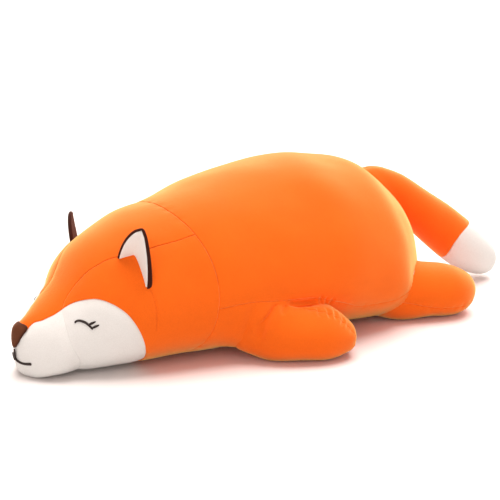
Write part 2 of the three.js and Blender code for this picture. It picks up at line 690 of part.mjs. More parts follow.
// Tail: ellipses square to a centre line that falls from the rump and sweeps to the left, in two
// orange halves with a white end
const tailStart = rump - TAIL_FROM_RUMP;
const tailTop = TORSO_HEIGHT - TAIL_UNDER_BACK;
const tailRows = TAIL_SHARES.map(([along, sweep, fall, side, deep]) => [
  tailStart + along * TAIL_REACH,
  -sweep * TAIL_TIP_WIDTH,
  tailTop - fall * (tailTop - TAIL_TIP_HEIGHT),
  (side * TAIL_WIDTH) / 2,
  (deep * TAIL_DEPTH) / 2,
]);
const tailCentre = (place) => new THREE.Vector3(...smoothRow(tailRows, place));

function tailAxes(place) {
  const along = tailCentre(place + STEP).sub(tailCentre(place - STEP)).normalize();
  const side = along.clone().cross(Z).negate().normalize();
  return [along, side, along.clone().cross(side)];
}

const tailForm = new Form(tailRows.length - 1, TAIL_RINGS, TAIL_AROUND, (place, angle) => {
  const [, side, up] = tailAxes(place);
  const row = smoothRow(tailRows, place);
  return tailCentre(place).addScaledVector(side, row[3] * Math.cos(angle))
    .addScaledVector(up, row[4] * Math.sin(angle));
});
const tailCloth = tailForm.cloth().subtract(bodyClear);

// The white end's seam reaches furthest towards the tip at the two long seams and bows towards the
// root between them
const whiteStart = tailStart + TAIL_WHITE_FROM_START;
const whitePlace = placeWhere(tailRows, tailRows.length - 1, ([x]) => x > whiteStart);
const whiteAxes = tailAxes(whitePlace);
const whiteCentre = tailCentre(whitePlace);

function whitePrism(distance) {
  const [along, across, level] = whiteAxes.map((axis) => whiteCentre.dot(axis));
  const bow = Array.from({ length: SEAM_STEPS / 2 + 1 }, (_, i) => {
    const side = (4 * i) / SEAM_STEPS - 1;
    const back = TAIL_WHITE_BULGE * side ** 2 + distance;
    return [along - back, across + (side * (TAIL_WIDTH + CLOTH)) / 2];
  });
  const [low, high] = [bow[0], bow[bow.length - 1]];
  const end = along + TAIL_REACH;
  const outline = [
    [low[0], across - beyond], ...bow, [high[0], across + beyond],
    [end, across + beyond], [end, across - beyond],
  ];
  return prism(outline.reverse(), level - TAIL_DEPTH, level + TAIL_DEPTH + OVERRUN, whiteAxes);
}

// What lies left of the tail's centre line, by at least a distance
function tailSide(distance) {
  const line = moved(tailRows.map(([x, y]) => [x, y]), -distance);
  const [first, last] = [line[0], line[line.length - 1]];
  const outline = [
    [first[0] - OVERRUN, first[1]], ...line, [last[0] + OVERRUN, last[1]],
    [last[0] + OVERRUN, -beyond], [first[0] - OVERRUN, -beyond],
  ];
  return prism(outline, -OVERRUN, beyond, PLAN_VIEW);
}

const tailOrange = tailCloth.subtract(whitePrism(GAP / 2));
addPiece('tail_panel_left', tailOrange.intersect(tailSide(GAP / 2)), orangePlush);
addPiece('tail_panel_right', tailOrange.subtract(tailSide(-GAP / 2)), orangePlush);
addPiece('tail_tip_panel', tailCloth.intersect(whitePrism(-GAP / 2)), creamPlush);
addPiece('tail_filling', tailForm.filling().subtract(bodyClear), fibre);

// The part's own frame: the middle of the floor under the toy's box
const box = new THREE.Box3().setFromObject(fox);
const centre = box.getCenter(new THREE.Vector3());
fox.position.set(-centre.x, -centre.y, 0);
const part = new THREE.Group();
part.add(fox);

export default part;
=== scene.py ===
"""A plush fox that lies asleep on its belly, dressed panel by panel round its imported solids.

Every stuffed form is a surface that is read at a length along it and an angle round it. A net of such
pairs is cut along the seam lines, each panel's points are worked out from its own pairs, and its edges
roll into the seams. Lengths are in metres. The fox looks along -X, its left side is -Y and the floor
is z = 0. Places along the toy are counted back from the tip of the muzzle.
"""

import logging
import math
from dataclasses import dataclass, field
from enum import Enum
from typing import Any, Callable

import bpy
import numpy as np
from mathutils import Matrix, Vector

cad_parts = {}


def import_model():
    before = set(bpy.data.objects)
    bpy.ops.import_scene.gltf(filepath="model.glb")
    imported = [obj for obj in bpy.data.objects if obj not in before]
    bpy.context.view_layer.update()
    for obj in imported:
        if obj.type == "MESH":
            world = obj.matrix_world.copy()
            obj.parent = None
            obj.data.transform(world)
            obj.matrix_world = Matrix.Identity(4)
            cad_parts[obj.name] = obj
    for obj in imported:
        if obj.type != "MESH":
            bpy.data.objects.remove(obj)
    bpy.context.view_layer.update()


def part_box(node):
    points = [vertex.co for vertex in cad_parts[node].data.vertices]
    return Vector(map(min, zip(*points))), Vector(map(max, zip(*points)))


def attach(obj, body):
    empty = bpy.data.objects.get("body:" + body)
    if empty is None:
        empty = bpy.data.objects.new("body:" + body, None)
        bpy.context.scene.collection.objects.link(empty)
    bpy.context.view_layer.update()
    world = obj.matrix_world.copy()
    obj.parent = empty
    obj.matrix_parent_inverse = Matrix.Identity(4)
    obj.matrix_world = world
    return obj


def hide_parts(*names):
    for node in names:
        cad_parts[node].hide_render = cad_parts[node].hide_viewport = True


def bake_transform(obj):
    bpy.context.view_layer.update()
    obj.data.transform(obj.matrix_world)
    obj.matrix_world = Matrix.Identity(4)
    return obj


Array = np.ndarray
Rows = tuple[tuple[float, ...], ...]
Field = Callable[[Array], Array]
Colour = tuple[float, float, float, float]
Thread = tuple[Array, Array, tuple[float, float]]  # a line, its normals and its ends' widths

MM = 0.001
TINY = 1e-12
WELD = 2e-6  # corners nearer than this are one
STEP = 2e-4  # along a form, for its slopes
TURN_STEP = 1e-3  # round a form, in radians
UPPER_ROUNDNESS = 2.0  # an ellipse over the widest level
LOWER_ROUNDNESS = 2.3  # a little squarer under it, where the toy sags
FLAT_CUT = 0.5 * MM  # how far a form reaches under the floor, so that its cloth rests flat
LEAST_SIZE = 0.5 * MM  # of a section, where something is divided by its size
FULL_TURN = 2 * math.pi
SEAM_LAYER = "seam_distance"  # how far a corner is from the seams that are painted with a dark shade line
THREAD_MAP = "along_thread"  # how far along and round a thread a corner lies
LOG = logging.getLogger("plush_fox")


class Side(Enum):
    """The fox's left or right, as the sign that its Y has there."""

    LEFT = -1.0
    RIGHT = 1.0

    @property
    def word(self) -> str:
        """The side's name in the names of the nodes."""
        return self.name.lower()


# ---- numbers and curves


def unit(vectors: Array) -> Array:
    """The same directions one long, the vectors lying in the last axis."""
    return vectors / np.maximum(np.linalg.norm(vectors, axis=-1, keepdims=True), TINY)


def ease(values: Array) -> Array:
    """A smooth step: 0 under 0, 1 over 1 and 3t² - 2t³ between."""
    t = np.clip(values, 0.0, 1.0)
    return t * t * (3 - 2 * t)


def smooth_rows(rows: Array, place: Array) -> Array:
    """Reads rows of numbers between the rows, on the uniform Catmull-Rom curve through them all.

    The curve between two rows is a cubic whose slope at each row is half the difference of its
    neighbours. Past an end, the rows go on in a straight line.

    Args:
        rows: One row for each whole place.
        place: Places, from 0 to the last row's number.

    Returns:
        A row for each place.
    """
    last = len(rows) - 1
    longer = np.vstack((2 * rows[0] - rows[1], rows, 2 * rows[-1] - rows[-2]))
    index = np.clip(np.floor(place).astype(int), 0, last - 1)
    t = (place - index)[..., None]
    before, start, end, after = (longer[index + k] for k in range(4))
    cubic = 3 * start - before - 3 * end + after
    square = 2 * before - 5 * start + 4 * end - after
    return 0.5 * (2 * start + (end - before) * t + square * t**2 + cubic * t**3)


def smooth_line(points: Rows, scale: Array, count: int) -> Array:
    """A smooth line of some points through others that are given as shares of a size."""
    rows = np.array(points, float) * scale
    return smooth_rows(rows, np.linspace(0, len(rows) - 1, count))


class Ripple:
    """Smooth noise from about -1 to 1: sines along scattered directions, added up."""

    WAVES = 16
    SPREAD = (0.7, 1.4)  # of the waves' lengths, as shares of the middle one

    def __init__(self, wavelength: float, seed: int) -> None:
        """Scatters the directions.

        Args:
            wavelength: The middle distance between two crests.
            seed: Sets the pattern.
        """
        chance = np.random.default_rng(seed)
        lengths = wavelength * chance.uniform(*self.SPREAD, (self.WAVES, 1))
        self.waves = unit(chance.normal(size=(self.WAVES, 3))) * FULL_TURN / lengths
        self.phases = chance.uniform(0, FULL_TURN, self.WAVES)

    def __call__(self, points: Array) -> Array:
        """The noise at points, the sum of sin(wave · point + phase) over a root of their number."""
        return np.sin(points @ self.waves.T + self.phases).sum(1) / math.sqrt(self.WAVES)


def to_segments(points: Array, starts: Array, ends: Array) -> tuple[Array, Array]:
    """Measures from points to the nearest of many straight segments.

    Each point is dropped onto each segment's line, held between its ends, and the least distance wins.

    Args:
        points: Where to measure from.
        starts: The segments' first ends.
        ends: Their second ends.

    Returns:
        The distances, and the nearest places on the segments.
    """
    run = ends - starts
    length = np.maximum((run**2).sum(1), TINY)
    offset = (starts * run).sum(1)
    share = np.clip((points @ run.T - offset) / length, 0, 1)
    gaps = (points**2).sum(1)[:, None] + (starts**2).sum(1) - 2 * points @ starts.T
    gaps += share**2 * length - 2 * share * (points @ run.T - offset)
    nearest = gaps.argmin(1)
    pick = np.arange(len(points))
    places = starts[nearest] + share[pick, nearest][:, None] * run[nearest]
    return np.linalg.norm(points - places, axis=1), places


def edge_distance(points: Array, starts: Array, ends: Array, reach: float) -> tuple[Array, Array]:
    """The distance to an edge, exact within a reach of it and rough beyond.

    Args:
        points: Where to measure from.
        starts: The edge's segments' first ends.
        ends: Their second ends.
        reach: How near the measure is exact.

    Returns:
        The distances, and the nearest places on the edge.
    """
    thin, chunk = 12, 3000
    rough, places = to_segments(points, starts[::thin], starts[::thin])
    slack = thin * np.linalg.norm(ends - starts, axis=1).max()
    near = np.flatnonzero(rough < reach + slack)
    for first in range(0, len(near), chunk):
        part = near[first : first + chunk]
        rough[part], places[part] = to_segments(points[part], starts, ends)
    return rough, places


# ---- forms


class Form:
    """A closed surface that is read at a length along it and an angle round it.

    Angle 0 is on the side of +Y, a quarter turn is the top, and half a turn the side of -Y, before a
    right-hand twin is mirrored across the middle.
    """

    SAMPLES = 400

    def __init__(self, rows: Array, mirror: bool = False) -> None:
        """Measures the form along its side.

        Args:
            rows: Its sections.
            mirror: Whether it is the right-hand twin of a left-hand form.
        """
        self.rows = rows
        self.mirror = mirror
        self.places = np.linspace(0, len(rows) - 1, self.SAMPLES)
        side = self.at(self.places, np.full(self.SAMPLES, math.pi))
        runs = np.linalg.norm(np.diff(side, axis=0), axis=1)
        self.lengths = np.concatenate(([0.0], np.cumsum(runs)))
        self.length = float(self.lengths[-1])

    def at(self, place: Array, angle: Array) -> Array:
        """Points at places among the rows and angles. Each form has its own."""
        raise NotImplementedError

    def points(self, pairs: Array) -> Array:
        """Points at pairs of length and angle."""
        place = np.interp(pairs[:, 0], self.lengths, self.places)
        return self.at(place, pairs[:, 1])

    def place_at(self, x: Array) -> Array:
        """The places among the rows at distances along the toy, or along a loft's own start."""
        return np.interp(x, smooth_rows(self.rows, self.places)[:, 0], self.places)

    def normals(self, pairs: Array) -> Array:
        """The way the surface faces: the cross product of its slopes round it and along it.

        Args:
            pairs: Lengths and angles.

        Returns:
            Unit vectors out of the form.
        """
        inner = np.clip(pairs[:, :1], 2 * STEP, self.length - 2 * STEP)
        pairs = np.hstack((inner, pairs[:, 1:]))
        along = self.points(pairs + (STEP, 0)) - self.points(pairs - (STEP, 0))
        round_it = self.points(pairs + (0, TURN_STEP)) - self.points(pairs - (0, TURN_STEP))
        outward = unit(np.cross(round_it, along))
        return -outward if self.mirror else outward


def section(rows: Array, angle: Array) -> Array:
    """Points of sections: half ellipses over and under their widest level, the lower one squarer.

    The point at angle a is (x, half · cos a · r, widest + rise · sin a · r), where rise reaches up to
    the top or down to the underside and r = (|cos a|ⁿ + |sin a|ⁿ) to the power -1/n.

    Args:
        rows: x, half the width, top, underside and widest level of each section.
        angle: An angle for each.

    Returns:
        The points.
    """
    x, half, top, under, widest = rows.T
    across, up = np.cos(angle), np.sin(angle)
    power = np.where(up >= 0, UPPER_ROUNDNESS, LOWER_ROUNDNESS)
    reach = (np.abs(across) ** power + np.abs(up) ** power) ** (-1 / power)
    rise = np.where(up >= 0, top - widest, widest - under)
    return np.stack((x, half * across * reach, widest + rise * up * reach), axis=1)


def fullness(rows: Array, y: Array, z: Array) -> Array:
    """How far out a point lies in its section: 1 on the skin, 0 in the middle.

    It is (|y / half|ⁿ + |(z - widest) / rise|ⁿ) to the power 1/n, the rise as in section().

    Args:
        rows: The sections.
        y: Across them.
        z: Up them.

    Returns:
        The shares.
    """
    _, half, top, under, widest = rows.T
    over = z >= widest
    power = np.where(over, UPPER_ROUNDNESS, LOWER_ROUNDNESS)
    rise = np.maximum(np.where(over, top - widest, widest - under), LEAST_SIZE)
    wide = np.abs(y) / np.maximum(half, LEAST_SIZE)
    return (wide**power + np.abs((z - widest) / rise) ** power) ** (1 / power)


def sections(shares: Rows, length: float, half: float, height: float) -> Array:
    """Sections from their shares of a form's sizes, their undersides a little under the floor.

    Args:
        shares: x, half the width, top, underside and widest level of each section, as shares.
        length: The form's length.
        half: Half its width.
        height: Its height.

    Returns:
        The sections.
    """
    rows = np.array(shares, float) * (length, half, height, height, height)
    rows[:, 3] -= FLAT_CUT
    return rows


class Loft(Form):
    """A form whose sections stand across its X axis, turned and placed as a whole."""

    def __init__(self, rows: Array, start: Array, splay: float = 0.0, mirror: bool = False) -> None:
        """Places the form.

        Args:
            rows: Its sections, x counted from its own start.
            start: Where its own start lies.
            splay: How far its X axis turns from the toy's towards -Y, in radians.
            mirror: Whether it is the right-hand twin.
        """
        self.start = np.array(start, float)
        cos, sin = math.cos(splay), math.sin(splay)
        self.turn = np.array(((cos, -sin, 0), (sin, cos, 0), (0, 0, 1)))
        super().__init__(rows, mirror)

    def at(self, place: Array, angle: Array) -> Array:
        """Points of the sections, turned, placed and mirrored."""
        made = section(smooth_rows(self.rows, place), angle) @ self.turn + self.start
        return made * (1, -1, 1) if self.mirror else made

    def local(self, points: Array) -> Array:
        """Points in the form's own frame."""
        left = points * (1, -1, 1) if self.mirror else points
        return (left - self.start) @ self.turn.T

    def rows_at(self, x: Array) -> Array:
        """The sections at distances along the form."""
        return smooth_rows(self.rows, self.place_at(x))

    def angle_of(self, points: Array) -> Array:
        """The angle round the form at points."""
        own = self.local(points)
        return np.arctan2(own[:, 2] - self.rows_at(own[:, 0])[:, 4], own[:, 1])


class Skin:
    """A form's surface as samples, for how far out of it points lie."""

    SPACING = 3 * MM
    CHUNK = 500
    REACH = 60 * MM  # round a chunk of points, within which samples are looked at
    FACING = 0.7  # a nearest sample faces its point at least this much
    GIRTH_POINTS = 60  # on the ring that is measured for the girth

    def __init__(self, form: Form) -> None:
        """Samples the form.

        Args:
            form: The form.
        """
        along = np.linspace(0, form.length, int(form.length / self.SPACING))
        halfway = np.full(self.GIRTH_POINTS, form.length / 2)
        ring = np.column_stack((halfway, np.linspace(0, FULL_TURN, self.GIRTH_POINTS)))
        girth = np.linalg.norm(np.diff(form.points(ring), axis=0), axis=1).sum()
        turn = np.linspace(0, FULL_TURN, int(girth / self.SPACING), endpoint=False)
        pairs = np.stack(np.meshgrid(along, turn, indexing="ij"), axis=2).reshape(-1, 2)
        self.points = form.points(pairs)
        self.normals = form.normals(pairs)

    def nearest(self, points: Array) -> tuple[Array, Array]:
        """The distance out of the surface, (point - sample) · normal at the nearest sample.

        Where the normal doesn't point along the way to the sample, the whole distance is taken.

        Args:
            points: Where it is measured.

        Returns:
            The distances, negative inside, and the normals.
        """
        gaps, facing = np.empty(len(points)), np.empty(points.shape)
        for part in np.array_split(np.arange(len(points)), len(points) // self.CHUNK + 1):
            here = points[part]
            low, high = here.min(0) - self.REACH, here.max(0) + self.REACH
            near = ((self.points > low) & (self.points < high)).all(1)
            near = near if near.any() else ~near
            samples, normals = self.points[near], self.normals[near]
            pick = ((samples**2).sum(1) - 2 * here @ samples.T).argmin(1)
            way = here - samples[pick]
            far = np.linalg.norm(way, axis=1)
            out = (way * normals[pick]).sum(1)
            true = (far < 2 * self.SPACING) | (np.abs(out) > self.FACING * far)
            gaps[part] = np.where(true, out, np.sign(out) * far)
            facing[part] = normals[pick]
        return gaps, facing

    def gap(self, points: Array) -> Array:
        """The distance out of the surface, negative inside."""
        return self.nearest(points)[0]

    def around(self, points: Array, reach: float) -> Array:
        """The numbers of the points in the form's box, widened by a reach."""
        low, high = self.points.min(0) - reach, self.points.max(0) + reach
        return np.flatnonzero(((points > low) & (points < high)).all(1))


# ---- nets and panels


@dataclass
class Net:
    """Triangles over pairs of length and angle on a form."""

    pairs: Array
    faces: Array

    @classmethod
    def over(cls, length: float, rings: int, around: int) -> "Net":
        """Nets a whole form.

        A grid of rings, whose first and last are the two poles: there each triangle has a corner of
        its own at the pole, halfway between the angles of its other two.

        Args:
            length: The form's length.
            rings: How many steps it has along it.
            around: How many it has round it.

        Returns:
            The net.
        """
        along, turn = np.meshgrid(
            np.linspace(0, length, rings + 1), np.linspace(0, FULL_TURN, around + 1), indexing="ij"
        )
        turn[[0, -1]] += FULL_TURN / around / 2
        index = np.arange(along.size).reshape(along.shape)
        a, b = index[1:-2, :-1].ravel(), index[1:-2, 1:].ravel()
        c, d = index[2:-1, :-1].ravel(), index[2:-1, 1:].ravel()
        faces = [
            np.stack((index[0, :-1], index[1, 1:], index[1, :-1]), axis=1),
            np.stack((a, b, d), axis=1),
            np.stack((a, d, c), axis=1),
            np.stack((index[-1, :-1], index[-2, :-1], index[-2, 1:]), axis=1),
        ]
        return cls(np.stack((along.ravel(), turn.ravel()), axis=1), np.vstack(faces))

    def kept(self, mask: Array) -> "Net":
        """The net of some of its triangles."""
        used, faces = np.unique(self.faces[mask], return_inverse=True)
        return Net(self.pairs[used], faces.reshape(-1, 3))

    def cut(self, values: Array) -> tuple["Net", Array]:
        """Cuts each triangle in which the values change sign along the line where they are zero.

        The new corner on a cut side lies where the value, run straight along the side, is zero. The
        corner that is alone on its side of the line gets one triangle and the other two share two.

        Args:
            values: A value at each pair.

        Returns:
            The cut net, and which of its triangles lie where the values are positive.
        """
        over = values >= 0
        count = over[self.faces].sum(1)
        whole = count % 3 == 0
        mixed, few = self.faces[~whole], count[~whole] == 1
        lone = np.argmax(over[mixed] == few[:, None], axis=1)
        turned = (lone[:, None] + np.arange(3)) % 3
        p, q, r = np.take_along_axis(mixed, turned, 1).T
        sides = np.sort(np.stack((np.stack((p, q), 1), np.stack((p, r), 1))), axis=2)
        keys, inverse = np.unique(sides[..., 0] * len(values) + sides[..., 1], return_inverse=True)
        first, second = keys // len(values), keys % len(values)
        share = values[first] / (values[first] - values[second])
        fresh = self.pairs[first] + share[:, None] * (self.pairs[second] - self.pairs[first])
        m, n = inverse.reshape(2, -1) + len(values)
        faces = [self.faces[whole]]
        faces += [np.stack(corners, axis=1) for corners in ((p, m, n), (m, q, r), (m, r, n))]
        above = np.concatenate((over[self.faces[whole][:, 0]], few, ~few, ~few))
        return Net(np.vstack((self.pairs, fresh)), np.vstack(faces)), above

    def split(self, values: Array) -> tuple["Net", "Net"]:
        """The nets of where the values are positive, and of where they are negative."""
        made, above = self.cut(values)
        return made.kept(above), made.kept(~above)


@dataclass(frozen=True)
class Weld:
    """A net's points in space, with the corners that lie on each other made one."""

    points: Array
    normals: Array
    faces: Array
    back: Array  # for each pair of the net, its welded corner

    @classmethod
    def of(cls, form: Form, net: Net) -> "Weld":
        """Welds a net on its form.

        Args:
            form: The form.
            net: The net.

        Returns:
            The welded points, their mean normals and the triangles that are left.
        """
        points = form.points(net.pairs)
        keys = np.round(points / WELD).astype(np.int64)
        _, first, back = np.unique(keys, axis=0, return_index=True, return_inverse=True)
        back = back.reshape(-1)
        normals = np.zeros((len(first), 3))
        np.add.at(normals, back, form.normals(net.pairs))
        faces = back[net.faces]
        a, b, c = faces.T
        return cls(points[first], unit(normals), faces[(a != b) & (b != c) & (c != a)], back)

    def rim(self) -> Array:
        """The sides that only one triangle has.

        Returns:
            The numbers of each side's two corners, in its triangle's direction.
        """
        sides = np.vstack((self.faces[:, :2], self.faces[:, 1:], self.faces[:, [2, 0]]))
        keys = np.sort(sides, axis=1) @ (len(self.points), 1)
        _, inverse, count = np.unique(keys, return_inverse=True, return_counts=True)
        return sides[count[inverse.reshape(-1)] == 1]


@dataclass(frozen=True)
class Seam:
    """How the edge of a panel rolls into a seam and gathers beside it."""

    depth: float = 0.75 * MM
    roll: float = 1.1 * MM
    valley: float = 0.4 * MM
    valley_width: float = 4.5 * MM
    pucker: float = 0.16 * MM
    pucker_pitch: float = 8 * MM
    rows: tuple[float, ...] = (0.35 * MM, 0.8 * MM, 1.5 * MM, 3 * MM)
    seed: int = 3

    def offset(self, distance: Array, places: Array) -> Array:
        """How far the cloth sinks at a distance from the seam.

        A quarter round falls over the roll, a bell-shaped valley lies along it, and ripples whose
        height is the same right across the seam fade out beside it.

        Args:
            distance: How far from the seam.
            places: The nearest places on the seam.

        Returns:
            Offsets along the normal, mostly negative.
        """
        t = np.clip(1 - distance / self.roll, 0, 1)
        groove = self.depth * (1 - np.sqrt(1 - t * t))
        bell = np.exp(-((distance / self.valley_width) ** 2))
        ripple = Ripple(self.pucker_pitch, self.seed)(places)
        return -groove - bell * (self.valley + self.pucker * ripple)


class Relief:
    """What shapes the cloth beyond its seams: offsets along the normal, added up."""

    def __init__(self, *parts: Callable[[Array], Array]) -> None:
        """Keeps the parts."""
        self.parts = parts

    def folds(self) -> list["Fold"]:
        """The folds among the parts."""
        return [part for part in self.parts if isinstance(part, Fold)]

    def __call__(self, points: Array) -> Array:
        """The sum of the parts' offsets."""
        return sum((part(points) for part in self.parts), np.zeros(len(points)))


@dataclass(frozen=True)
class Crease:
    """What a fold is made from: its line in millimetres, and how deep and wide it is."""

    line: Rows
    depth: float
    width: float
    raised: float = 0.35
    # a sewn fold's crease is painted with the dark shade line of the seams
    sewn: bool = False

    def mirrored(self) -> "Crease":
        """The same crease on the fox's other side."""
        line = tuple((x, -y, z) for x, y, z in self.line)
        return Crease(line, self.depth, self.width, self.raised, self.sewn)


class Fold:
    """A crease laid on a surface, with the cloth raised beside it.

    Across the line the cloth sinks by depth · exp(-(d / width)²) and rises beside it by a share of
    that, and both fade towards the line's ends.
    """

    COUNT = 60
    REACH = 4.5  # widths
    ROWS = (0.45, 1.0, 1.7, 2.6)  # widths from the line at which the net is cut
    TAPER = 0.3  # of its length, over which it fades at each end
    END_SHARE = 0.12  # added to the fade, so that an end isn't quite flat
    RAISED_AT = 2.0  # widths from the line
    SPACING = 2.5 * MM  # wider folds need no cuts

    def __init__(self, crease: Crease, skin: Skin) -> None:
        """Lays the crease's line on the surface.

        Args:
            crease: The crease.
            skin: The surface.
        """
        self.crease = crease
        line = smooth_line(crease.line, np.full(3, MM), self.COUNT)
        gap, normals = skin.nearest(line)
        self.line = line - gap[:, None] * normals
        self.length = float(np.linalg.norm(np.diff(self.line, axis=0), axis=1).sum())

    def measured(self, points: Array) -> tuple[Array, Array]:
        """The distance to the line, no farther than the fold's reach, and the share that is left of
        it towards the ends.

        Args:
            points: Where it is measured.

        Returns:
            The distances and the shares.
        """
        reach = self.REACH * self.crease.width
        distance, share = np.full(len(points), reach), np.zeros(len(points))
        low, high = self.line.min(0) - reach, self.line.max(0) + reach
        near = np.flatnonzero(((points > low) & (points < high)).all(1))
        if len(near):
            away, places = to_segments(points[near], self.line[:-1], self.line[1:])
            ends = [np.linalg.norm(places - end, axis=1) for end in self.line[[0, -1]]]
            distance[near] = np.minimum(away, reach)
            share[near] = ease(np.minimum(*ends) / (self.TAPER * self.length) + self.END_SHARE)
        return distance, share

    def rows(self) -> tuple[float, ...]:
        """The distances at which the net is cut beside the line."""
        fine = self.crease.width < self.SPACING
        return tuple(row * self.crease.width for row in self.ROWS) if fine else ()

    def __call__(self, points: Array) -> Array:
        """The offsets at points.

        Args:
            points: Where they are read.

        Returns:
            The offsets along the normal.
        """
        distance, share = self.measured(points)
        across = distance / self.crease.width
        beside = np.exp(-((across - self.RAISED_AT) ** 2))
        return self.crease.depth * share * (self.crease.raised * beside - np.exp(-(across**2)))


@dataclass(frozen=True)
class Fillet:
    """Cloth that bridges the angle where two stuffed forms meet.

    It rises by reach / 4 · (1 - d / reach)², d being the distance from the other form's skin.
    """

    other: Skin
    reach: Field
    farthest: float = 25 * MM

    def __call__(self, points: Array) -> Array:
        """The offsets at points.

        Args:
            points: Where they are read.

        Returns:
            The offsets along the normal.
        """
        offsets = np.zeros(len(points))
        near = self.other.around(points, self.farthest)
        if len(near):
            reach = self.reach(points[near])
            share = np.clip(1 - np.abs(self.other.gap(points[near])) / reach, 0, 1)
            offsets[near] = reach / 4 * share**2
        return offsets


@dataclass(frozen=True)
class Lumps:
    """The slight unevenness of loose filling: two ripples, faded out in front of a place."""

    large: float = 0.8 * MM
    small: float = 0.12 * MM
    large_pitch: float = 75 * MM
    small_pitch: float = 34 * MM
    seed: int = 11
    fade_from: float = 0.06
    fade_over: float = 0.06

    def __call__(self, points: Array) -> Array:
        """The offsets at points.

        Args:
            points: Where they are read.

        Returns:
            The offsets along the normal.
        """
        whole = self.large * Ripple(self.large_pitch, self.seed)(points)
        whole += self.small * Ripple(self.small_pitch, self.seed + 1)(points)
        return whole * ease((points[:, 0] - self.fade_from) / self.fade_over)


class Cloth:
    """A panel of plush: an outer face, an inner face and the rolled edge that joins them."""

    THICKNESS = 2.0 * MM
    REST = 0.4 * MM  # over which the floor rounds the cloth that lies on it
    CLOSE = 0.25 * MM  # an edge this near a field's zero lies on it
    FAR = 0.1  # where no painted shade line is near
    MARGIN = 4 * MM  # beyond a cut, within which distances are exact
    SHADE_LINE_REACH = 20 * CLOSE  # within which the distance from a painted shade line is exact

    def __init__(self, form: Form, net: Net, relief: Relief, seam: Seam, plain: Field) -> None:
        """Cuts and rolls a panel.

        Args:
            form: The form that it lies on.
            net: Its part of the form's net.
            relief: What else shapes it.
            seam: How its edges lie.
            plain: A field that is zero along edges that get no painted shade line.
        """
        for row in seam.rows:
            net = net.cut(self.from_edge(form, net, row + self.MARGIN) - row)[0]
        for fold in relief.folds():
            for row in fold.rows():
                net = net.cut(fold.measured(form.points(net.pairs))[0] - row)[0]
        weld = Weld.of(form, net)
        rim = weld.rim()
        starts, ends = weld.points[rim[:, 0]], weld.points[rim[:, 1]]
        distance, places = edge_distance(weld.points, starts, ends, 3 * seam.valley_width)
        shaped = weld.points + relief(weld.points)[:, None] * weld.normals
        outer = shaped + seam.offset(distance, places)[:, None] * weld.normals
        inner = shaped - self.THICKNESS * weld.normals
        count = len(outer)
        a, b = rim.T
        strip = (np.stack((b, a, a + count), 1), np.stack((b, a + count, b + count), 1))
        faces = np.vstack((weld.faces, weld.faces[:, ::-1] + count, *strip))
        self.faces = faces[:, ::-1] if form.mirror else faces
        self.points = self.rested(np.vstack((outer, inner)), count)
        # the finish paints shade along the seams by this distance
        self.distance = np.tile(self.from_shade_lines(weld, rim, relief, plain), 2)

    @property
    def parts(self) -> tuple[Array, Array, Array]:
        """Its points, its triangles and the points' distances from the painted shade lines."""
        return self.points, self.faces, self.distance

    @classmethod
    def from_shade_lines(cls, weld: Weld, rim: Array, relief: Relief, plain: Field) -> Array:
        """The distance from the painted shade lines: the edges that aren't plain, and the sewn folds.

        Args:
            weld: The panel's points.
            rim: The sides along its edge.
            relief: What shapes it, its folds among that.
            plain: A field that is zero along edges that get no painted shade line.

        Returns:
            A distance for each point.
        """
        starts, ends = weld.points[rim[:, 0]], weld.points[rim[:, 1]]
        # the edges along which shade is painted
        dark = np.maximum(np.abs(plain(starts)), np.abs(plain(ends))) > cls.CLOSE
        distance = np.full(len(weld.points), cls.FAR)
        if dark.any():
            distance = edge_distance(weld.points, starts[dark], ends[dark], cls.SHADE_LINE_REACH)[0]
        for fold in relief.folds():
            if fold.crease.sewn:
                distance = np.minimum(distance, fold.measured(weld.points)[0])
        return distance

    @staticmethod
    def from_edge(form: Form, net: Net, reach: float) -> Array:
        """The distance of a net's corners from its edge.

        Args:
            form: The form.
            net: The net.
            reach: How near the measure is exact.

        Returns:
            A distance for each pair of the net.
        """
        weld = Weld.of(form, net)
        rim = weld.rim()
        starts, ends = weld.points[rim[:, 0]], weld.points[rim[:, 1]]
        return edge_distance(weld.points, starts, ends, reach)[0][weld.back]

    def rested(self, points: Array, count: int) -> Array:
        """Keeps the cloth over the floor: height h becomes half of h + √(h² + rest²).

        Args:
            points: The outer points, then the inner ones.
            count: How many outer points there are.

        Returns:
            The points, the inner ones a cloth's thickness higher.
        """
        lift = np.where(np.arange(len(points)) < count, 0.0, self.THICKNESS / 2)
        height = points[:, 2] - lift
        points[:, 2] = lift + 0.5 * (height + np.hypot(height, self.REST))
        return points


# ---- meshes


def make_piece(name: str, points: Array, faces: Array, distance: Array | None = None) -> Any:
    """Puts points and triangles into a mesh object.

    Args:
        name: The piece's name.
        points: Its corners.
        faces: Its triangles.
        distance: How far each corner is from the piece's seams, for a finish that paints shade along them.

    Returns:
        The object.
    """
    mesh = bpy.data.meshes.new(name)
    mesh.vertices.add(len(points))
    mesh.vertices.foreach_set("co", np.ascontiguousarray(points, np.float32).ravel())
    mesh.loops.add(faces.size)
    mesh.loops.foreach_set("vertex_index", np.ascontiguousarray(faces, np.int32).ravel())
    mesh.polygons.add(len(faces))
    mesh.polygons.foreach_set("loop_start", np.arange(0, faces.size, 3, dtype=np.int32))
    mesh.polygons.foreach_set("loop_total", np.full(len(faces), 3, np.int32))
    mesh.polygons.foreach_set("use_smooth", np.ones(len(faces), bool))
    mesh.update(calc_edges=True)
    mesh.validate()
    if distance is not None:
        layer = mesh.attributes.new(SEAM_LAYER, "FLOAT", "POINT")
        layer.data.foreach_set("value", np.ascontiguousarray(distance, np.float32))
    piece = bpy.data.objects.new(name, mesh)
    bpy.context.scene.collection.objects.link(piece)
    return piece


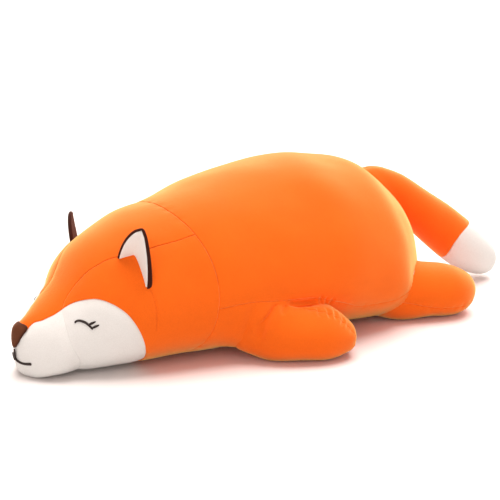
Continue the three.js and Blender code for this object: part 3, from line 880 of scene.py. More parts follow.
def closed_grid(points: Array) -> tuple[Array, Array]:
    """Triangles over a grid that closes round its second axis and shrinks to a point at both ends.

    Args:
        points: A grid of points, (rows, columns, 3); the first and last rows are poles.

    Returns:
        The points as a list and the triangles, whose front is along rows × columns.
    """
    rows, columns, _ = points.shape
    index = np.arange(1, (rows - 2) * columns + 1).reshape(rows - 2, columns)
    following = np.roll(index, -1, axis=1)
    a, b = index[:-1].ravel(), following[:-1].ravel()
    c, d = index[1:].ravel(), following[1:].ravel()
    last = index.size + 1
    first_fan = np.stack((np.zeros(columns, int), index[0], following[0]), axis=1)
    last_fan = np.stack((np.full(columns, last), following[-1], index[-1]), axis=1)
    body = (np.stack((a, c, d), axis=1), np.stack((a, d, b), axis=1))
    flat = np.vstack((points[0, :1], points[1:-1].reshape(-1, 3), points[-1, :1]))
    return flat, np.vstack((first_fan, *body, last_fan))


# ---- materials


def operator(operation: str, reflected: bool = False) -> Callable[["Wire", Any], "Wire"]:
    """Makes a wire's operator.

    Args:
        operation: The Math node's operation.
        reflected: Whether the wire is the second of its two inputs.

    Returns:
        The method.
    """

    def method(wire: "Wire", other: Any) -> "Wire":
        """A Math node's value from the wire and another value."""
        return wire.math(operation, *((other, wire) if reflected else (wire, other)))

    return method


class Wire:
    """A socket whose sums, products and powers are Math nodes."""

    def __init__(self, nodes: "Nodes", socket: Any) -> None:
        """Keeps the socket and the nodes that it is among."""
        self.nodes = nodes
        self.socket = socket

    def math(self, operation: str, *values: Any) -> "Wire":
        """A Math node's value from its inputs in order."""
        return self.nodes.node("ShaderNodeMath", {"operation": operation}, dict(enumerate(values)))

    __add__ = __radd__ = operator("ADD")
    __mul__ = __rmul__ = operator("MULTIPLY")
    __sub__ = operator("SUBTRACT")
    __rsub__ = operator("SUBTRACT", reflected=True)
    __truediv__ = operator("DIVIDE")
    __rtruediv__ = operator("DIVIDE", reflected=True)
    __pow__ = operator("POWER")
    __rpow__ = operator("POWER", reflected=True)


class Nodes:
    """A tree of shader nodes."""

    NOISE_ROUGHNESS = 0.6
    RAYS = ("Is Camera Ray", "Is Glossy Ray", "Is Transmission Ray")

    def __init__(self, tree: Any) -> None:
        """Keeps the tree."""
        self.tree = tree

    def node(self, kind: str, settings: dict[str, Any], sockets: dict[Any, Any], output: Any = 0) -> Wire:
        """Adds a node.

        Args:
            kind: Its type.
            settings: Its own settings, which are set first.
            sockets: Values or wires for its inputs.
            output: Which output is wanted.

        Returns:
            That output.
        """
        made = self.tree.nodes.new(kind)
        for key, value in settings.items():
            setattr(made, key, value)
        for key, value in sockets.items():
            self.feed(made.inputs[key], value)
        return Wire(self, made.outputs[output])

    def feed(self, socket: Any, value: Any) -> None:
        """Links a wire to a socket, or sets its value.

        Args:
            socket: The input.
            value: A wire, or a plain value.
        """
        if isinstance(value, Wire):
            self.tree.links.new(value.socket, socket)
        else:
            socket.default_value = value

    def mix(self, share: Any, first: Any, second: Any) -> Wire:
        """A Mix node's colour, the share being how much of the second it has."""
        settings = {"data_type": "RGBA", "blend_type": "MIX"}
        return self.node("ShaderNodeMix", settings, {0: share, 6: first, 7: second}, 2)

    def ramp(self, value: Wire, places: tuple[float, float], levels: tuple[float, float]) -> Wire:
        """A value that runs straight from one level to another between two places."""
        sockets = {0: value, 1: places[0], 2: places[1], 3: levels[0], 4: levels[1]}
        return self.node("ShaderNodeMapRange", {"clamp": True}, sockets)

    def noise(self, scale: float, detail: float, coordinates: Wire) -> Wire:
        """Noise at a scale, its features about a metre over the scale wide."""
        sockets = {"Vector": coordinates, "Scale": scale, "Detail": detail, "Roughness": self.NOISE_ROUGHNESS}
        return self.node("ShaderNodeTexNoise", {}, sockets)

    def here(self) -> Wire:
        """The Object coordinates."""
        return self.node("ShaderNodeTexCoord", {}, {}, "Object")

    def bump(self, height: Wire, strength: float, distance: float) -> Wire:
        """A normal from a height."""
        return self.node("ShaderNodeBump", {}, {"Strength": strength, "Distance": distance, "Height": height})

    def looked_at(self) -> Wire:
        """1 for rays from the camera, mirrors and glass, and 0 for those that only carry light."""
        camera, glossy, through = (self.node("ShaderNodeLightPath", {}, {}, ray) for ray in self.RAYS)
        return camera.math("MAXIMUM", camera.math("MAXIMUM", camera, glossy), through)


class Sheet(Nodes):
    """A material's nodes, with a Principled surface that leads to the output."""

    def __init__(self, name: str) -> None:
        """Makes the material.

        Args:
            name: Its name.
        """
        self.material = bpy.data.materials.new(name)
        self.material.use_nodes = True
        super().__init__(self.material.node_tree)
        self.tree.nodes.clear()
        self.surface = self.tree.nodes.new("ShaderNodeBsdfPrincipled")
        output = self.tree.nodes.new("ShaderNodeOutputMaterial")
        self.tree.links.new(self.surface.outputs["BSDF"], output.inputs["Surface"])

    def set(self, **values: Any) -> None:
        """Sets or links inputs of the surface, named with _ for a space."""
        for key, value in values.items():
            self.feed(self.surface.inputs[key.replace("_", " ")], value)


@dataclass(frozen=True)
class Plush:
    """Short velvety plush: a dense pile whose tips catch the light, brushed this way and that.

    Its colour is painted darker between the tufts, where the bump sinks, as painted shade, and
    along the seams, as painted shade in their grooves and the pile parted there, falling off as
    e to the power -(d / width)²; random nap patches are a darker tone of their own.
    """

    name: str
    colour: Colour
    deep: Colour  # painted shade between the tufts and along the seams, and the tone of the nap patches
    sheen: float
    sheen_tint: Colour
    sheen_roughness: float = 0.5
    roughness: float = 0.85
    specular: float = 0.12
    pile: float = 0.5 * MM
    seam_width: float = 0.5 * MM
    seam_shade: float = 0.42
    tufts: tuple[float, float] = (1150.0, 3.0)  # scale and detail
    clumps: tuple[float, float] = (310.0, 2.0)
    patches: tuple[float, float] = (34.0, 2.0)
    tuft_gap: tuple[float, float] = (0.36, 0.6)  # the noise in a gap and on a tuft
    patch_edge: tuple[float, float] = (0.35, 0.65)
    gap_shade: float = 0.13
    patch_tone: float = 0.07
    tuft_height: float = 0.6
    clump_height: float = 0.5
    bump: float = 0.5
    base: float = 2.718

    def made(self) -> Any:
        """Builds the material.

        Returns:
            The material.
        """
        sheet = Sheet(self.name)
        here = sheet.here()
        tufts = sheet.noise(*self.tufts, here)
        # painted shade between the tufts: darker where the tuft noise, which also raises the bump, is low
        gaps = sheet.ramp(tufts, self.tuft_gap, (1.0, 0.0))
        patches = sheet.ramp(sheet.noise(*self.patches, here), self.patch_edge, (0.0, 1.0))
        # painted shade along the seams: darkest on their lines, falling off as a bell beside them
        away = sheet.node("ShaderNodeAttribute", {"attribute_name": SEAM_LAYER}, {}, "Fac") / self.seam_width
        stitched = self.base ** (-1.0 * away * away) * self.seam_shade
        # how light the base colour stays once the painted shade and the nap patches' tone are taken off
        light = (1.0 - self.gap_shade * gaps) * (1.0 - self.patch_tone * patches) * (1.0 - stitched)
        height = tufts * self.tuft_height + sheet.noise(*self.clumps, here) * self.clump_height
        sheet.set(
            Base_Color=sheet.mix(1.0 - light, self.colour, self.deep),
            Roughness=self.roughness,
            Specular_IOR_Level=self.specular,
            Sheen_Weight=self.sheen,
            Sheen_Roughness=self.sheen_roughness,
            Sheen_Tint=self.sheen_tint,
            Normal=sheet.bump(height, self.bump, self.pile),
        )
        return sheet.material


@dataclass(frozen=True)
class Satin:
    """Embroidery thread laid side by side across a line."""

    name: str
    colour: Colour
    # painted on the ridges' crests as a highlight
    light: Colour
    pitch: float = 0.42 * MM
    ridge: float = 0.15 * MM
    bump: float = 0.6
    roughness: float = 0.45
    specular: float = 0.25

    def made(self) -> Any:
        """Builds the material, whose ridges are a sine along the line on the piece's own UV map.

        Returns:
            The material.
        """
        sheet = Sheet(self.name)
        uv = sheet.node("ShaderNodeUVMap", {"uv_map": THREAD_MAP}, {})
        turns = sheet.node("ShaderNodeSeparateXYZ", {}, {0: uv}) * (FULL_TURN / self.pitch)
        # the crests of the ridges are painted lighter, a painted highlight on top of their bump
        shine = turns.math("SINE", turns) * 0.5 + 0.5
        sheet.set(
            Base_Color=sheet.mix(shine, self.colour, self.light),
            Roughness=self.roughness,
            Specular_IOR_Level=self.specular,
            Normal=sheet.bump(shine, self.bump, self.ridge),
        )
        return sheet.material


@dataclass(frozen=True)
class Fibre:
    """Loose polyester filling: strands that a twisted wave draws."""

    name: str = "polyester_fibre"
    colour: Colour = (0.86, 0.85, 0.82, 1.0)
    deep: Colour = (0.6, 0.59, 0.57, 1.0)
    scale: float = 260.0
    distortion: float = 22.0
    detail: float = 4.0
    detail_scale: float = 1.6
    strand: float = 0.6 * MM
    bump: float = 0.5
    roughness: float = 0.9
    sheen: float = 0.3

    def made(self) -> Any:
        """Builds the material.

        Returns:
            The material.
        """
        sheet = Sheet(self.name)
        settings = {"wave_type": "BANDS", "bands_direction": "DIAGONAL"}
        sockets = {
            "Vector": sheet.here(),
            "Scale": self.scale,
            "Distortion": self.distortion,
            "Detail": self.detail,
            "Detail Scale": self.detail_scale,
        }
        strands = sheet.node("ShaderNodeTexWave", settings, sockets, "Fac")
        sheet.set(
            Base_Color=sheet.mix(strands, self.deep, self.colour),
            Roughness=self.roughness,
            Sheen_Weight=self.sheen,
            Normal=sheet.bump(strands, self.bump, self.strand),
        )
        return sheet.material


@dataclass
class Finishes:
    """Every finish of the toy, made once."""

    orange: Any = field(init=False)
    cream: Any = field(init=False)
    brown: Any = field(init=False)
    nose: Any = field(init=False)
    thread: Any = field(init=False)
    fibre: Any = field(init=False)

    def __post_init__(self) -> None:
        """Makes the materials."""
        self.orange = Plush(
            name="orange_short_plush",
            colour=(1.0, 0.143, 0.006, 1.0),
            deep=(0.6, 0.05, 0.003, 1.0),
            sheen=1.0,
            sheen_tint=(1.0, 0.84, 0.32, 1.0),
            sheen_roughness=0.4,
        ).made()
        self.cream = Plush(
            name="cream_short_plush",
            colour=(0.89, 0.815, 0.765, 1.0),
            deep=(0.58, 0.49, 0.43, 1.0),
            sheen=0.2,
            sheen_tint=(1.0, 0.96, 0.93, 1.0),
        ).made()
        self.brown = Plush(
            name="brown_short_plush",
            colour=(0.05, 0.009, 0.004, 1.0),
            deep=(0.02, 0.004, 0.002, 1.0),
            sheen=0.1,
            sheen_tint=(0.8, 0.4, 0.25, 1.0),
        ).made()
        self.nose = Plush(
            name="nose_short_plush",
            colour=(0.13, 0.037, 0.015, 1.0),
            deep=(0.035, 0.008, 0.004, 1.0),
            sheen=0.2,
            sheen_tint=(0.9, 0.5, 0.3, 1.0),
            # the patch is painted dark towards its outline, a painted shade round its turned-under edge
            seam_width=1.3 * MM,
            seam_shade=0.85,
        ).made()
        self.thread = Satin(
            name="satin_stitch", colour=(0.012, 0.005, 0.004, 1.0), light=(0.03, 0.012, 0.008, 1.0)
        ).made()
        self.fibre = Fibre().made()


# ---- the toy's parts


@dataclass(frozen=True)
class Bend:
    """Where soft pieces would leave the body's motion, and from where they would follow the limb's."""

    limb: str
    start: Array
    end: Array


@dataclass
class Workshop:
    """What every part of the toy is made with: the finishes, and the x of the muzzle's tip."""

    finishes: Finishes
    nose_x: float

    def add(
        self,
        name: str,
        cloth: tuple[Array, Array, Array | None],
        finish: Any,
        slot: str,
        node: str,
        bend: Bend | None = None,
        fill: float | None = 0.8,
    ) -> Any:
        """Makes a piece that stands for a CAD node.

        Args:
            name: The piece's name.
            cloth: Its points, triangles and distances from the seams.
            finish: Its material.
            slot: The record's slot; not used.
            node: The node that it stands for.
            bend: None where it rides on the body and is attached to it; otherwise the piece is left
                unattached.
            fill: How full it is stuffed, or None where it isn't padded; not used.

        Returns:
            The object.
        """
        points, faces, distance = cloth
        piece = make_piece(name, points + (self.nose_x, 0, 0), faces, distance)
        piece.data.materials.append(finish)
        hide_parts(node)
        if bend is None:
            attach(piece, "body")
        else:
            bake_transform(piece)
        LOG.info("%s: %d triangles for %s", name, len(faces), node)
        return piece


@dataclass
class Body:
    """Head and torso: one bag of filling in eight panels."""

    head_length: float = 145 * MM
    neck_half: float = 87 * MM
    neck_height: float = 129 * MM
    torso_length: float = 263 * MM
    torso_half: float = 108 * MM
    torso_height: float = 151 * MM
    mask_length: float = 95 * MM
    mask_height: float = 68 * MM
    muzzle_length: float = 31 * MM
    crown_floor: float = 38.7 * MM
    neck_bow: float = 8 * MM  # how far the neck seam runs forward over the top and under the throat
    neck_bow_height: float = 50 * MM
    neck_bow_level: float = 76 * MM
    shade_lines_from: float = 76 * MM  # lower seams get no painted shade line
    rings: int = 230
    around: int = 248
    head_shares: Rows = (
        (0, 0, 0.225, 0.225, 0.225),
        (0.014, 0.062, 0.322, 0.06, 0.217),
        (0.069, 0.255, 0.362, 0, 0.11),
        (0.166, 0.413, 0.432, 0, 0.155),
        (0.29, 0.515, 0.555, 0, 0.24),
        (0.428, 0.678, 0.752, 0, 0.318),
        (0.628, 0.816, 0.876, 0, 0.364),
        (1, 1, 1, 0, 0.41),
    )
    torso_shares: Rows = (
        (0.195, 0.917, 0.934, 0, 0.371),
        (0.459, 1, 1, 0, 0.384),
        (0.684, 0.961, 0.96, -0.03, 0.33),
        (0.8, 0.84, 0.879, -0.045, 0.285),
        (0.9, 0.64, 0.738, -0.025, 0.255),
        (0.96, 0.425, 0.581, 0.05, 0.25),
        (0.991, 0.205, 0.424, 0.155, 0.26),
        (1, 0, 0.276, 0.276, 0.276),
    )
    mask_edge: Rows = (
        (0, 0.59), (0.07, 0.61), (0.11, 0.655), (0.15, 0.695), (0.205, 0.725), (0.288, 0.79),
        (0.349, 0.848), (0.415, 0.912), (0.5, 0.975), (0.575, 1), (0.655, 0.955), (0.74, 0.85),
        (0.795, 0.73), (0.835, 0.615), (0.88, 0.46), (0.93, 0.28), (0.97, 0.14), (1, 0),
    )
    muzzle_seam: Rows = ((1.42, 0), (1.24, 0.25), (1.05, 0.44), (0.99, 0.62), (1.04, 0.8), (1.2, 1))
    crown_seam: Rows = (
        (0.2, 0.33), (0.226, 0.26), (0.262, 0.208), (0.312, 0.206), (0.37, 0.255),
        (0.437, 0.326), (0.503, 0.375), (0.62, 0.483), (0.83, 0.58), (1, 0.644),
    )
    side_seam: Rows = (
        (0, 0.351), (0.105, 0.368), (0.24, 0.348), (0.335, 0.331), (0.436, 0.272),
        (0.538, 0.205), (0.67, 0.195), (0.72, 0.21), (0.816, 0.24), (0.876, 0.265), (1, 0.3),
    )
    seam_end: float = 60 * MM  # how far a side seam runs straight on past its line
    creases: tuple[Crease, ...] = ()
    orange_seam: Seam = Seam(depth=0.6 * MM)
    white_seam: Seam = Seam(
        depth=0.2 * MM, roll=1.6 * MM, valley=1.1 * MM, valley_width=5 * MM, pucker=0.1 * MM
    )
    form: Loft = field(init=False)
    skin: Skin = field(init=False)

    HALVINGS = 40
    SIDE_POINTS = 240  # of a seam that is drawn from the side
    MUZZLE_POINTS = 120
    CROWN_POINTS = 200

    def __post_init__(self) -> None:
        """Makes the form from its shares."""
        head = sections(self.head_shares, self.head_length, self.neck_half, self.neck_height)
        torso = sections(self.torso_shares, self.torso_length, self.torso_half, self.torso_height)
        torso[:, 0] += self.head_length
        self.form = Loft(np.vstack((head, torso)), np.zeros(3))
        self.skin = Skin(self.form)

    def folds(self) -> list[Fold]:
        """The folds of both sides."""
        both = [crease for own in self.creases for crease in (own, own.mirrored())]
        return [Fold(crease, self.skin) for crease in both]

    def on_front(self, y: Array, z: Array) -> tuple[Array, Array]:
        """Points of the muzzle seen from the front.

        The place along the head is halved between where the point would lie out of the section and
        where it would lie inside it.

        Args:
            y: Across.
            z: Up.

        Returns:
            The points and the normals there.
        """
        low, high = np.zeros(len(y)), np.full(len(y), float(len(self.head_shares) - 1))
        for _ in range(self.HALVINGS):
            middle = (low + high) / 2
            inside = fullness(smooth_rows(self.form.rows, middle), y, z) < 1
            low, high = np.where(inside, low, middle), np.where(inside, middle, high)
        rows = smooth_rows(self.form.rows, high)
        return self.with_normals(high, rows, y, z)

    def on_cheek(self, x: Array, z: Array) -> tuple[Array, Array]:
        """Points of the left cheek seen from the side.

        Args:
            x: Back from the muzzle's tip.
            z: Up.

        Returns:
            The points and the normals there.
        """
        place = self.form.place_at(x)
        rows = smooth_rows(self.form.rows, place)
        over = z >= rows[:, 4]
        power = np.where(over, UPPER_ROUNDNESS, LOWER_ROUNDNESS)
        rise = np.where(over, rows[:, 2] - rows[:, 4], rows[:, 4] - rows[:, 3])
        up = np.clip(np.abs((z - rows[:, 4]) / rise), 0, 1)
        return self.with_normals(place, rows, -rows[:, 1] * (1 - up**power) ** (1 / power), z)

    def with_normals(self, place: Array, rows: Array, y: Array, z: Array) -> tuple[Array, Array]:
        """The points (y, z) of sections, and the normals there.

        Args:
            place: The sections' places.
            rows: The sections.
            y: Across.
            z: Up.

        Returns:
            The points and their normals.
        """
        _, half, top, under, widest = rows.T
        rise = np.where(z >= widest, top - widest, widest - under)
        angle = np.arctan2((z - widest) / np.maximum(rise, TINY), y / np.maximum(half, TINY))
        length = np.interp(place, self.form.places, self.form.lengths)
        normals = self.form.normals(np.stack((length, angle), axis=1))
        return np.stack((rows[:, 0], y, z), axis=1), normals

    def seam_height(self, shares: Rows, scale: tuple[float, float], start: float) -> Field:
        """A seam seen from the side, as the height over it, which runs straight on past its end.

        Args:
            shares: The line.
            scale: The sizes of its two shares.
            start: Where it starts.

        Returns:
            A field: a point's height over the line.
        """
        line = smooth_line(shares, np.array(scale), self.SIDE_POINTS)
        x, z = line[:, 0] + start, line[:, 1]
        steep = (z[-1] - z[-2]) / (x[-1] - x[-2])
        x = np.append(x, x[-1] + self.seam_end)
        z = np.append(z, z[-1] + min(steep, 0.0) * self.seam_end)
        return lambda points: points[:, 2] - np.interp(points[:, 0], x, z)

    def over_mask(self) -> Field:
        """The height over the edge of the white mask."""
        return self.seam_height(self.mask_edge, (self.mask_length, self.mask_height), 0.0)

    def muzzle_field(self, points: Array) -> Array:
        """How far ahead of the muzzle's seam points lie.

        Args:
            points: Where it is measured.

        Returns:
            The distances along the toy.
        """
        scale = np.array((self.muzzle_length, self.mask_height))
        line = smooth_line(self.muzzle_seam, scale, self.MUZZLE_POINTS)
        return np.interp(points[:, 2], line[:, 1], line[:, 0]) - points[:, 0]

    def crown_field(self, points: Array) -> Array:
        """How far inside the crown's seams points lie, none of them under its floor.

        Args:
            points: Where it is measured.

        Returns:
            The distances across the toy, or the height over the crown's floor if that is less.
        """
        scale = np.array((self.head_length, self.neck_half))
        line = smooth_line(self.crown_seam, scale, self.CROWN_POINTS)
        inside = np.interp(points[:, 0], line[:, 0], line[:, 1]) - np.abs(points[:, 1])
        return np.minimum(inside, points[:, 2] - self.crown_floor)

    def neck_field(self, points: Array) -> Array:
        """How far behind the neck's seam points lie: the seam bows forward by a parabola in z."""
        rise = (points[:, 2] - self.neck_bow_level) / self.neck_bow_height
        return points[:, 0] - self.head_length + self.neck_bow * rise**2

    def panels(self) -> dict[str, Net]:
        """Cuts the form's net into the panels.

        Returns:
            Each panel's net under its node's name.
        """
        form = self.form

        def parted(net: Net, cut_by: Field) -> tuple[Net, Net]:
            """The nets of where a field is positive, and of where it is negative."""
            return net.split(cut_by(form.points(net.pairs)))

        def midline(points: Array) -> Array:
            """How far to the right of the middle points lie."""
            return points[:, 1]

        torso_size = (self.torso_length, self.torso_height)
        over_side = self.seam_height(self.side_seam, torso_size, self.head_length)
        torso, head = parted(Net.over(form.length, self.rings, self.around), self.neck_field)
        orange, white = parted(head, self.over_mask())
        made = {}
        made["muzzle_panel"], cheeks = parted(white, self.muzzle_field)
        made["cheek_panel_right"], made["cheek_panel_left"] = parted(cheeks, midline)
        made["crown_panel"], sides = parted(orange, self.crown_field)
        made["head_side_panel_right"], made["head_side_panel_left"] = parted(sides, midline)
        made["back_panel"], made["belly_panel"] = parted(torso, over_side)
        return made

    def build(self, shop: Workshop, relief: Relief) -> None:
        """Makes the panels.

        Args:
            shop: What they are made with.
            relief: What shapes them beyond their seams.
        """
        over_mask = self.over_mask()

        def plain(points: Array) -> Array:
            """A field that is zero along the mask's edge, and along every seam that lies low."""
            return np.where(points[:, 2] < self.shade_lines_from, 0.0, over_mask(points))

        for node, net in self.panels().items():
            white = node.startswith(("muzzle", "cheek"))
            seam = self.white_seam if white else self.orange_seam
            cloth = Cloth(self.form, net, relief, seam, plain)
            finish = shop.finishes.cream if white else shop.finishes.orange
            slot = "cream_plush" if white else "orange_plush"
            shop.add(f"{node}_plush", cloth.parts, finish, slot, node)


CHEST_CREASES = (
    # the folds between chest and front leg
    Crease(
        ((193, -98, 54), (189, -97, 46), (183, -99, 39), (177, -99.5, 31), (174, -98, 21)),
        2.3 * MM, 3 * MM, 0.5,
    ),
    Crease(((201, -99, 50), (199, -101, 45), (194, -104, 40)), 1.4 * MM, 2.4 * MM, 0.5),
    # the deep crease over the front leg
    Crease(
        ((201, -100, 51), (208, -101, 50), (215, -102, 49.5), (223, -103, 49), (233, -104, 48)),
        2.2 * MM, 2.4 * MM, 0.2,
    ),
)
BODY_CREASES = CHEST_CREASES + (
    # the dart under the ear, sewn, so its crease is painted with the dark shade line
    Crease(
        ((91, -64, 75), (92, -67, 70), (93, -69, 63), (93, -71, 53), (92, -71, 41)),
        0.6 * MM, 1.1 * MM, 0.3, True,
    ),
    # the soft fold in front of the front leg
    Crease(((174, -94, 54), (170, -92, 44), (168, -89, 35), (167, -85, 24)), 1.4 * MM, 3.5 * MM),
    # the puckers over the front leg
    Crease(((236, -105, 53), (236, -105, 48), (236, -104, 43)), 0.9 * MM, 1.6 * MM),
    Crease(((242, -105, 51), (241, -105, 46), (241, -104, 42)), 0.8 * MM, 1.6 * MM),
    Crease(((249, -106, 49), (247, -105, 45), (244, -104, 41)), 0.8 * MM, 1.6 * MM),
)
FRONT_LEG_CREASES = CHEST_CREASES + (
    # the puckers across the top seam
    Crease(((228, -111, 45), (225, -115, 43), (221, -120, 40)), 0.8 * MM, 1.4 * MM, 0.6),
    Crease(((236, -112, 44), (233, -118, 41.5), (229, -125, 38)), 1.0 * MM, 1.4 * MM, 0.6),
    Crease(((243, -114, 41), (238, -121, 39), (234, -126, 36)), 0.8 * MM, 1.4 * MM, 0.6),
    Crease(((246, -121, 36), (243, -126, 34), (236, -130, 32)), 0.7 * MM, 1.4 * MM, 0.6),
)


@dataclass
class Leg:
    """A stuffed leg in two panels, sewn to the torso."""

    name: str
    side: Side
    length: float
    half: float
    height: float
    start: tuple[float, float]
    splay: float  # degrees
    shares: Rows
    panels: tuple[str, str]  # where the seam's field is positive, then where it is negative
    seam_field: Field
    bridge: tuple[float, float]  # how far the cloth bridges to the torso in front and over the top
    creases: tuple[Crease, ...] = ()
    buried: float = 32 * MM  # its cloth runs on into the torso, so that none is missing when it swings
    bend_shares: tuple[float, float] = (0.2, 0.55)  # of its length, between which it would start to turn
    seam: Seam = Seam(depth=0.6 * MM, pucker=0.4 * MM, pucker_pitch=6 * MM)
    rings: int = 84
    around: int = 112
    form: Loft = field(init=False)
    skin: Skin = field(init=False)

    FULL_BRIDGE = 1.2  # over one, so that the cloth bridges in full before the very front

    def __post_init__(self) -> None:
        """Makes the form from its shares."""
        rows = sections(self.shares, self.length, self.half, self.height)
        start = np.array((*self.start, 0.0))
        self.form = Loft(rows, start, math.radians(self.splay), self.side is Side.RIGHT)
        self.skin = Skin(self.form)

    def bridging(self, points: Array) -> Array:
        """How far the cloth bridges, from the angle round the leg: most in front, least on top."""
        front, top = self.bridge
        return top + (front - top) * ease(-np.cos(self.form.angle_of(points)) * self.FULL_BRIDGE)

    def bend(self, nose_x: float) -> Bend:
        """Where the leg would leave the body's motion for its joint's.

        Args:
            nose_x: The muzzle tip's x in the frame.

        Returns:
            The bend.
        """
        flip = (1, -1 if self.side is Side.RIGHT else 1, 1)
        middle = self.form.start * flip + (nose_x, 0, 0)
        turn = self.length * self.form.turn[0] * flip
        start, end = self.bend_shares
        return Bend(f"{self.name}_{self.side.word}", middle + start * turn, middle + end * turn)

    def build(self, shop: Workshop, body: Body) -> None:
        """Makes the leg's panels, which are not attached to the body.

        Args:
            shop: What they are made with.
            body: The body that the leg is sewn to.
        """
        form = self.form
        net = Net.over(form.length, self.rings, self.around)
        net = net.split(body.skin.gap(form.points(net.pairs)) + self.buried)[0]
        halves = net.split(self.seam_field(form.local(form.points(net.pairs))))
        mirrored = self.side is Side.RIGHT
        folds = [Fold(own.mirrored() if mirrored else own, self.skin) for own in self.creases]
        lumps = Lumps(0.5 * MM, 0.2 * MM, seed=23, fade_from=0.0, fade_over=0.01)
        relief = Relief(Fillet(body.skin, self.bridging), lumps, *folds)
        bend = self.bend(shop.nose_x)
        for panel, part in zip(self.panels, halves):
            cloth = Cloth(form, part, relief, self.seam, no_shade_line)
            node = f"{self.name}_{panel}_{self.side.word}"
            shop.add(f"{node}_plush", cloth.parts, shop.finishes.orange, "orange_plush", node, bend)


def no_shade_line(points: Array) -> Array:
    """A field that is zero everywhere, for panels whose edges get no painted shade line."""
    return np.zeros(len(points))


FRONT_LEG_SHARES: Rows = (
    (0, 0, 0.5, 0.5, 0.5),
    (0.067, 0.55, 0.82, 0.2, 0.5),
    (0.267, 0.91, 1.08, 0, 0.48),
    (0.533, 1, 1.0, 0, 0.46),
    (0.778, 0.88, 0.9, 0, 0.45),
    (0.955, 0.487, 0.6, 0.14, 0.4),
    (1, 0, 0.38, 0.38, 0.38),
)
HIND_LEG_SHARES: Rows = (
    (0, 0, 0.5, 0.5, 0.5),
    (0.064, 0.59, 0.82, 0.18, 0.5),
    (0.28, 0.88, 1.022, 0, 0.5),
    (0.545, 1, 0.99, 0, 0.49),
    (0.79, 0.95, 0.89, 0, 0.47),
    (0.955, 0.53, 0.69, 0.18, 0.44),
    (1, 0, 0.43, 0.43, 0.43),
)


def outer_of_front_leg(own: Array) -> Array:
    """How far points lie outside the front leg's top seam, a straight line in plan.

    Args:
        own: Points in the leg's frame.

    Returns:
        The distances across the leg.
    """
    seam_at_root, seam_at_end = -6 * MM, -12.5 * MM
    root, end = -40 * MM, 110 * MM
    share = (own[:, 0] - root) / (end - root)
    return seam_at_root + share * (seam_at_end - seam_at_root) - own[:, 1]


def upper_of_hind_leg(own: Array) -> Array:
    """How far points lie over the seam of the hind leg's sole, a smooth line seen from the side.

    Args:
        own: Points in the leg's frame.

    Returns:
        The heights over the seam.
    """
    length, height, line_points = 113, 28, 80  # mm
    shares = ((0, 1), (0.24, 0.81), (0.41, 0.63), (0.56, 0.47), (0.8, 0.44), (1, 0.62))
    line = smooth_line(shares, np.array((length, height)) * MM, line_points)
    return own[:, 2] - np.interp(own[:, 0], line[:, 0], line[:, 1])


def front_leg(side: Side) -> Leg:
    """A front leg.

    Args:
        side: Its side.

    Returns:
        The leg, in an outer and an inner panel that meet along its top.
    """
    return Leg(
        name="front_leg",
        side=side,
        length=106 * MM,
        half=31 * MM,
        height=47 * MM,
        start=(171 * MM, -66 * MM),
        splay=33.0,
        shares=FRONT_LEG_SHARES,
        panels=("outer_panel", "inner_panel"),
        seam_field=outer_of_front_leg,
        bridge=(24 * MM, 3 * MM),
        creases=FRONT_LEG_CREASES,
    )


def hind_leg(side: Side) -> Leg:
    """A hind leg.

    Args:
        side: Its side.

    Returns:
        The leg, in an upper panel and a sole.
    """
    return Leg(
        name="hind_leg",
        side=side,
        length=110 * MM,
        half=30 * MM,
        height=50.5 * MM,
        start=(323 * MM, -61 * MM),
        splay=18.2,
        shares=HIND_LEG_SHARES,
        panels=("upper_panel", "sole_panel"),
        seam_field=upper_of_hind_leg,
        bridge=(4 * MM, 2.5 * MM),
    )


class TailForm(Form):
    """The tail: ellipses square to a centre line that falls from the rump and sweeps to the left."""

    def axes(self, place: Array) -> tuple[Array, Array, Array]:
        """The centre line's direction, the direction across it and the one over it.

        Args:
            place: Places along the tail.

        Returns:
            Three unit vectors for each place, the second level.
        """
        ahead = smooth_rows(self.rows, place + TURN_STEP)[..., :3]
        along = unit(ahead - smooth_rows(self.rows, place - TURN_STEP)[..., :3])
        side = unit(-np.cross(along, (0.0, 0.0, 1.0)))
        return along, side, np.cross(along, side)

    def at(self, place: Array, angle: Array) -> Array:
        """Points of its ellipses: centre + side · half width · cos a + up · half depth · sin a.

        Args:
            place: Places along the tail.
            angle: An angle for each.

        Returns:
            The points.
        """
        rows = smooth_rows(self.rows, place)
        _, side, up = self.axes(place)
        across = (rows[..., 3] * np.cos(angle))[..., None]
        over = (rows[..., 4] * np.sin(angle))[..., None]
        return rows[..., :3] + side * across + up * over


